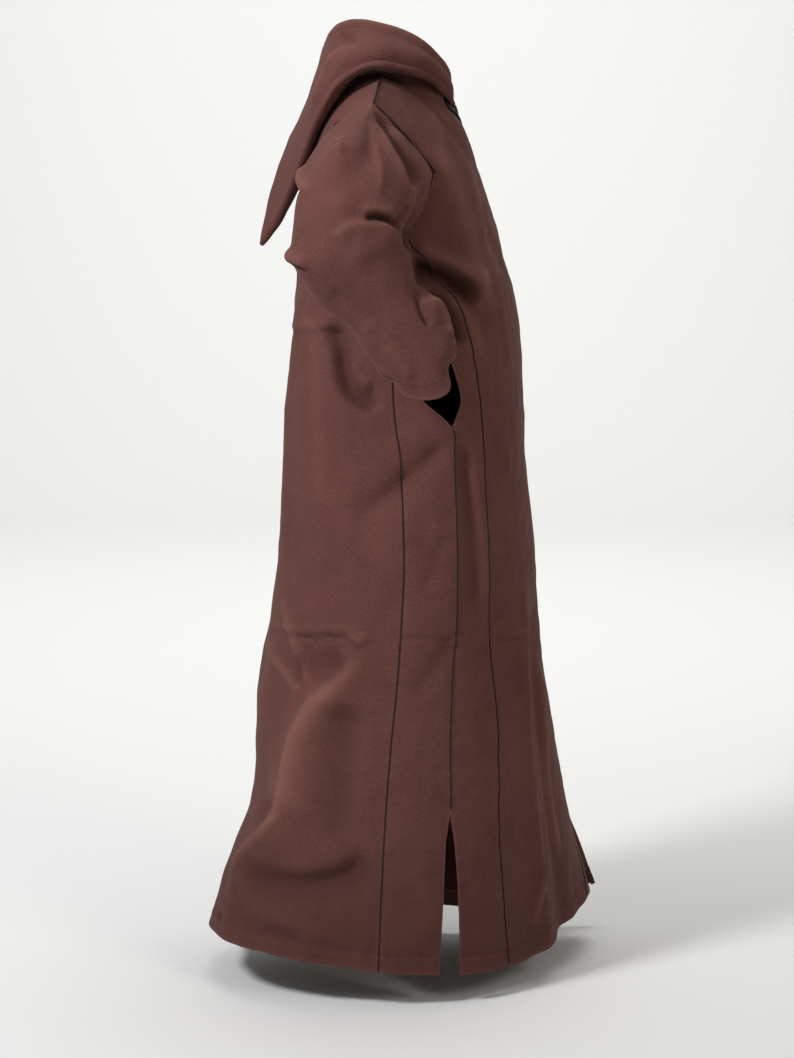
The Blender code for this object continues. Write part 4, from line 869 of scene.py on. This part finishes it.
CORD_RADIUS = 0.0015
CORD_STEP = 0.0009
CORD_TURN = 0.0072           # length of one turn of the two plies
CORD_SIDES = 6
CORD_TIP = 0.55              # share of its thickness left at the ends
CORD_LOBE = 0.2              # how far the two plies narrow the cord between them
CORD_RISE = 0.0007           # the cord's middle above the cloth
CORD_ASIDE = 0.0028          # the armhole cord lies this far inside the edge
CORD_OVER = 0.0012           # and this much higher, where the sleeve's cap leans on it
CORD_UP = 0.040              # the front cord runs on upwards under the arm


def yarn(name, runs, wide, high, lobe, turn):
    """Twisted yarns as closed tubes, each along a line of points and normals."""
    vertices, faces, places = [], [], []
    for points, normals in runs:
        long = lengths(points)
        steps = np.linspace(0, long[-1], max(4, round(long[-1] / CORD_STEP)))
        centre = spline(points, long, steps)
        along = unit(np.gradient(centre, axis=0))
        side = unit(np.cross(spline(normals, long, steps), along))
        out = np.cross(along, side)
        around = np.arange(CORD_SIDES) / CORD_SIDES * 2 * math.pi
        spun = around[None] + 2 * math.pi * steps[:, None] / turn
        bulge = 1 - lobe + lobe * np.cos(2 * around)[None]
        bulge = bulge * np.where((steps == 0) | (steps == steps[-1]), CORD_TIP, 1.0)[:, None]
        ring = (centre[:, None] + side[:, None] * (wide * bulge * np.cos(spun))[..., None]
                + out[:, None] * (high * bulge * np.sin(spun))[..., None])
        first, count = len(vertices), len(steps)
        vertices.extend(ring.reshape(-1, 3).tolist())
        vertices.extend([centre[0].tolist(), centre[-1].tolist()])
        for i in range(count - 1):
            for k in range(CORD_SIDES):
                after = (k + 1) % CORD_SIDES
                low, high_row = first + i * CORD_SIDES, first + (i + 1) * CORD_SIDES
                faces.append((low + k, low + after, high_row + after, high_row + k))
                left, right = k / CORD_SIDES, (k + 1) / CORD_SIDES
                places.extend([(left, steps[i]), (right, steps[i]),
                               (right, steps[i + 1]), (left, steps[i + 1])])
        tip = first + count * CORD_SIDES
        last = tip - CORD_SIDES
        for k in range(CORD_SIDES):
            after = (k + 1) % CORD_SIDES
            faces.append((tip, first + after, first + k))
            faces.append((tip + 1, last + k, last + after))
            places.extend([(0.5, 0), (0, 0), (1, 0), (0.5, long[-1]), (0, long[-1]), (1, long[-1])])
    mesh = bpy.data.meshes.new(name)
    mesh.from_pydata(vertices, [], faces)
    mesh.uv_layers.new(name="UVMap").data.foreach_set("uv", np.array(places, np.float32).ravel())
    made = bpy.data.objects.new(name, mesh)
    pick(made)
    bpy.ops.object.shade_smooth_by_angle(angle=math.radians(75))
    return made


def thread(name, dark, light, rough):
    """Dyed yarn: matte fibres laid round it at a slant, a little uneven in tone."""
    made = bpy.data.materials.new(name)
    made.use_nodes = True
    nodes, links = made.node_tree.nodes, made.node_tree.links
    surface = nodes["Principled BSDF"]
    surface.inputs["Roughness"].default_value = rough
    surface.inputs["Specular IOR Level"].default_value = 0.25
    place = nodes.new("ShaderNodeTexCoord")
    flat = nodes.new("ShaderNodeUVMap")
    flat.uv_map = "UVMap"
    slant = nodes.new("ShaderNodeMapping")
    slant.inputs["Scale"].default_value = (0.006, 1, 1)
    slant.inputs["Rotation"].default_value = (0, 0, math.radians(38))
    links.new(flat.outputs["UV"], slant.inputs["Vector"])
    fibre = nodes.new("ShaderNodeTexWave")
    fibre.inputs["Scale"].default_value = 420
    fibre.inputs["Distortion"].default_value = 2.0
    links.new(slant.outputs["Vector"], fibre.inputs["Vector"])
    tone = nodes.new("ShaderNodeTexNoise")
    tone.inputs["Scale"].default_value = 240
    tone.inputs["Detail"].default_value = 3
    links.new(place.outputs["Object"], tone.inputs["Vector"])
    both = nodes.new("ShaderNodeMath")
    both.operation = "MULTIPLY"
    links.new(fibre.outputs["Fac"], both.inputs[0])
    links.new(tone.outputs["Fac"], both.inputs[1])
    shade = nodes.new("ShaderNodeMix")
    shade.data_type = "RGBA"
    links.new(both.outputs["Value"], shade.inputs["Factor"])
    for socket, value in (("A", dark), ("B", light)):
        entry = next(s for s in shade.inputs if s.name == socket and s.type == "RGBA")
        entry.default_value = value + (1,)
    links.new(next(s for s in shade.outputs if s.type == "RGBA"), surface.inputs["Base Color"])
    bump = nodes.new("ShaderNodeBump")
    bump.inputs["Strength"].default_value = 0.5
    bump.inputs["Distance"].default_value = 0.0002
    links.new(fibre.outputs["Fac"], bump.inputs["Height"])
    links.new(bump.outputs["Normal"], surface.inputs["Normal"])
    return made


cord_charcoal = thread("cord_charcoal", (0.010, 0.0090, 0.011), (0.032, 0.029, 0.034), 0.8)

CORDED = {        # seam: the piece whose edge it follows
    "shoulder": "front_panel", "armhole": "front_panel", "front": "front_panel",
    "back": "back_panel", "side": "back_gore_",
}
for seam, holder in CORDED.items():
    for side, mirror in (("right", -1), ("left", 1)):
        node = seam + "_piping_" + side
        low, high = (np.array(corner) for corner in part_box(node))
        grid, normals = body[holder + side if holder[-1] == "_" else holder][:2]
        if seam == "shoulder":
            points, out = grid[0], normals[0]
            near = (points[:, 0] > low[0]) & (points[:, 0] < high[0])
        else:
            if seam == "side":
                column = 0 if grid[:, 0, 1].mean() < grid[:, -1, 1].mean() else -1
            else:
                column = 0 if grid[:, 0, 0].mean() * mirror > grid[:, -1, 0].mean() * mirror else -1
            points, out = grid[:, column].copy(), normals[:, column]
            top = high[2] + (CORD_UP if seam == "front" else 0)
            near = (points[:, 2] > low[2]) & (points[:, 2] < top)
            if seam == "armhole":
                inner = grid[:, 1 if column == 0 else -2]
                points += unit(inner - points) * CORD_ASIDE + out * CORD_OVER
        run = (points[near] + out[near] * CORD_RISE, out[near])
        piece = yarn("cord_" + seam + "_" + side, [run], CORD_RADIUS, CORD_RADIUS, CORD_LOBE,
                     CORD_TURN)
        piece.data.materials.append(cord_charcoal)
        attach(piece, "root")
        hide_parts(node)

# --- Neck braid --------------------------------------------------------------------------------
# Flat black braid plaited from three strands, sewn by hand along both edges of the neck opening.

BRAID_INSET = 0.0080         # from the neck's edge to the middle of the braid
BRAID_RISE = 0.0028          # and its height over the cloth
BRAID_SWING = 0.0064         # how far a strand swings to each side
BRAID_LIFT = 0.0010          # how far it rises over the others
BRAID_PITCH = 0.017
BRAID_END = 0.056            # the braid goes on under the hood, this far from the middle
STRAND = (0.0034, 0.0017)    # half width and half thickness of a strand
STRANDS, UNTWISTED = 3, 1e6  # a braid's strands don't twist, so one turn is endless
NECK_PART, STRAND_CLEAR = 0.0004, 0.0002       # the two braids keep off the middle of the robe

braid_black = thread("braid_black", (0.006, 0.0055, 0.006), (0.022, 0.020, 0.021), 0.6)
grid, normals = body["front_panel"][:2]
for side, mirror in (("right", -1), ("left", 1)):
    near = (grid[0, :, 0] * mirror > NECK_PART) & (grid[0, :, 0] * mirror < BRAID_END)
    edge, below, out = grid[0][near], grid[2][near], normals[0][near]
    down = unit(below - edge)
    middle = edge + down * BRAID_INSET + out * BRAID_RISE
    long = lengths(middle)
    steps = np.linspace(0, long[-1], round(long[-1] / CORD_STEP))
    middle, down, out = (spline(line, long, steps) for line in (middle, down, out))
    strands = []
    for number in range(STRANDS):
        phase = 2 * math.pi * (steps / BRAID_PITCH + number / STRANDS)
        line = (middle + down * (BRAID_SWING * np.sin(phase))[:, None]
                + out * (BRAID_LIFT * np.sin(2 * phase))[:, None])
        line[:, 0] = mirror * np.maximum(line[:, 0] * mirror, STRAND[0] + STRAND_CLEAR)
        strands.append((line, out))
    piece = yarn("braid_neck_" + side, strands, *STRAND, 0.0, UNTWISTED)
    piece.data.materials.append(braid_black)
    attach(piece, "root")
    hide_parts("neck_braid_" + side)

# --- Stitching ---------------------------------------------------------------------------------
# Lock stitches in dark brown thread: the hem, the cuffs, the slits and pockets, the armholes where
# there is no cord, and the rim of the hood.

STITCH, STITCH_GAP = 0.0030, 0.0009
STITCH_WIDE, STITCH_HIGH, STITCH_RISE = 0.00035, 0.00045, 0.0001
HALF_STEP = 0.0005           # the direction of a stitch is taken over this much either side
spots, lines, outs = [], [], []
for points, out in sewn:
    long = lengths(points)
    steps = np.arange(STITCH, long[-1] - STITCH, STITCH + STITCH_GAP)
    spots.append(spline(points, long, steps))
    lines.append(unit(spline(points, long, steps + HALF_STEP)
                      - spline(points, long, steps - HALF_STEP)))
    outs.append(unit(spline(out, long, steps)))
spots, lines, outs = (np.concatenate(each) for each in (spots, lines, outs))
sides = unit(np.cross(outs, lines))
outline = np.array([(-0.5, 0, 0)] + [(a, b, c) for a in (-0.34, 0.34) for b, c in
                                     ((1, 0), (0, 1), (-1, 0), (0, -1))] + [(0.5, 0, 0)])
shape = (spots[:, None] + lines[:, None] * outline[None, :, :1] * STITCH
         + sides[:, None] * outline[None, :, 1:2] * STITCH_WIDE
         + outs[:, None] * (outline[None, :, 2:] * STITCH_HIGH + STITCH_RISE))
one = [(0, 1 + (k + 1) % 4, 1 + k) for k in range(4)]
one += [(1 + k, 1 + (k + 1) % 4, 5 + (k + 1) % 4, 5 + k) for k in range(4)]
one += [(9, 5 + k, 5 + (k + 1) % 4) for k in range(4)]
mesh = bpy.data.meshes.new("stitching")
mesh.from_pydata(shape.reshape(-1, 3).tolist(), [],
                 [[len(outline) * number + corner for corner in face]
                  for number in range(len(spots)) for face in one])
mesh.uv_layers.new(name="UVMap")
stitching = bpy.data.objects.new("stitching", mesh)
pick(stitching)
bpy.ops.object.mode_set(mode="EDIT")
bpy.ops.mesh.select_all(action="SELECT")
bpy.ops.mesh.normals_make_consistent(inside=False)
bpy.ops.object.mode_set(mode="OBJECT")
bpy.ops.object.shade_smooth()
thread_brown = thread("thread_brown", (0.045, 0.018, 0.015), (0.12, 0.055, 0.047), 0.6)
stitching.data.materials.append(thread_brown)
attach(stitching, "root")

# --- Floor, light and camera -------------------------------------------------------------------
# A pale floor that rolls up into a wall, four large soft lights, and the camera beside the robe.

FLOOR_Z = -1.503
FLOOR_FRONT, FLOOR_BACK, FLOOR_HALF = -9.0, 6.5, 9.0
ROLL, WALL = 3.0, 9          # radius at which the floor turns up into the wall, and its height
bpy.ops.object.select_all(action="DESELECT")
bpy.ops.mesh.primitive_plane_add(size=1, location=(0, 0, FLOOR_Z))
floor = bpy.context.object
floor.name = "floor"
bpy.ops.object.mode_set(mode="EDIT")
bpy.ops.mesh.select_all(action="SELECT")
bpy.ops.transform.resize(value=(FLOOR_BACK - FLOOR_FRONT, 2 * FLOOR_HALF, 1))
bpy.ops.transform.translate(value=((FLOOR_BACK + FLOOR_FRONT) / 2, 0, 0))
bpy.ops.mesh.select_mode(type="EDGE")
bpy.ops.mesh.select_all(action="DESELECT")
bpy.ops.object.mode_set(mode="OBJECT")
for edge in floor.data.edges:
    edge.select = all(floor.data.vertices[v].co.x > FLOOR_BACK - 0.01 for v in edge.vertices)
bpy.ops.object.mode_set(mode="EDIT")
bpy.ops.mesh.spin(steps=24, angle=math.radians(90), axis=(0, 1, 0),
                  center=(FLOOR_BACK, 0, FLOOR_Z + ROLL))
bpy.ops.mesh.extrude_region_move(TRANSFORM_OT_translate={"value": (0, 0, WALL)})
bpy.ops.mesh.select_all(action="SELECT")
bpy.ops.mesh.normals_make_consistent(inside=False)
bpy.ops.object.mode_set(mode="OBJECT")
bpy.ops.object.transform_apply(location=True, rotation=True, scale=True)
bpy.ops.object.shade_smooth_by_angle(angle=math.radians(30))
paper = bpy.data.materials.new("floor_paper")
paper.use_nodes = True
matte = paper.node_tree.nodes["Principled BSDF"].inputs
matte["Base Color"].default_value = (0.72, 0.72, 0.71, 1)
matte["Roughness"].default_value = 0.9
matte["Specular IOR Level"].default_value = 0.1
floor.data.materials.append(paper)

world = bpy.data.worlds.new("studio")
bpy.context.scene.world = world
world.use_nodes = True
sky = world.node_tree.nodes["Background"].inputs
sky["Color"].default_value = (0.98, 1.0, 0.98, 1)
sky["Strength"].default_value = 0.24
bpy.context.scene.view_settings.view_transform = "Standard"

LIGHTS = [          # place, what it is turned to, size, power, colour
    ("key", (-1.85, 2.05, 1.45), (0, 0, -0.35), 0.75, 108, (0.97, 0.97, 1.0)),
    ("fill", (-3.1, -2.6, 1.5), (0, 0, -0.2), 1.6, 43, (1.0, 0.92, 0.85)),
    ("top", (0.6, -0.8, 3.4), (0, 0, -1.0), 3.0, 42, (1.0, 1.0, 1.0)),
    ("wall", (1.6, 0, 6.2), (9.4, 0, 3.8), 5.0, 880, (1.0, 1.0, 1.0)),
]
for name, place, target, size, power, colour in LIGHTS:
    lamp = bpy.data.lights.new(name, "AREA")
    lamp.shape = "DISK"
    lamp.size = size
    lamp.energy = power
    lamp.color = colour
    shown = bpy.data.objects.new(name, lamp)
    shown.location = place
    shown.rotation_euler = (Vector(target) - Vector(place)).to_track_quat("-Z", "Y").to_euler()
    bpy.context.scene.collection.objects.link(shown)

FOCAL, FRAME_HEIGHT = 2375, 1058               # in pixels of the frame
lens = bpy.data.cameras.new("camera")
lens.sensor_fit = "VERTICAL"
lens.sensor_height = 36
lens.lens = FOCAL / FRAME_HEIGHT * lens.sensor_height
camera = bpy.data.objects.new("camera", lens)
camera.location = (-4.05, 0, -0.235)
camera.rotation_euler = (math.radians(83), 0, math.radians(-90))
bpy.context.scene.collection.objects.link(camera)
bpy.context.scene.camera = camera
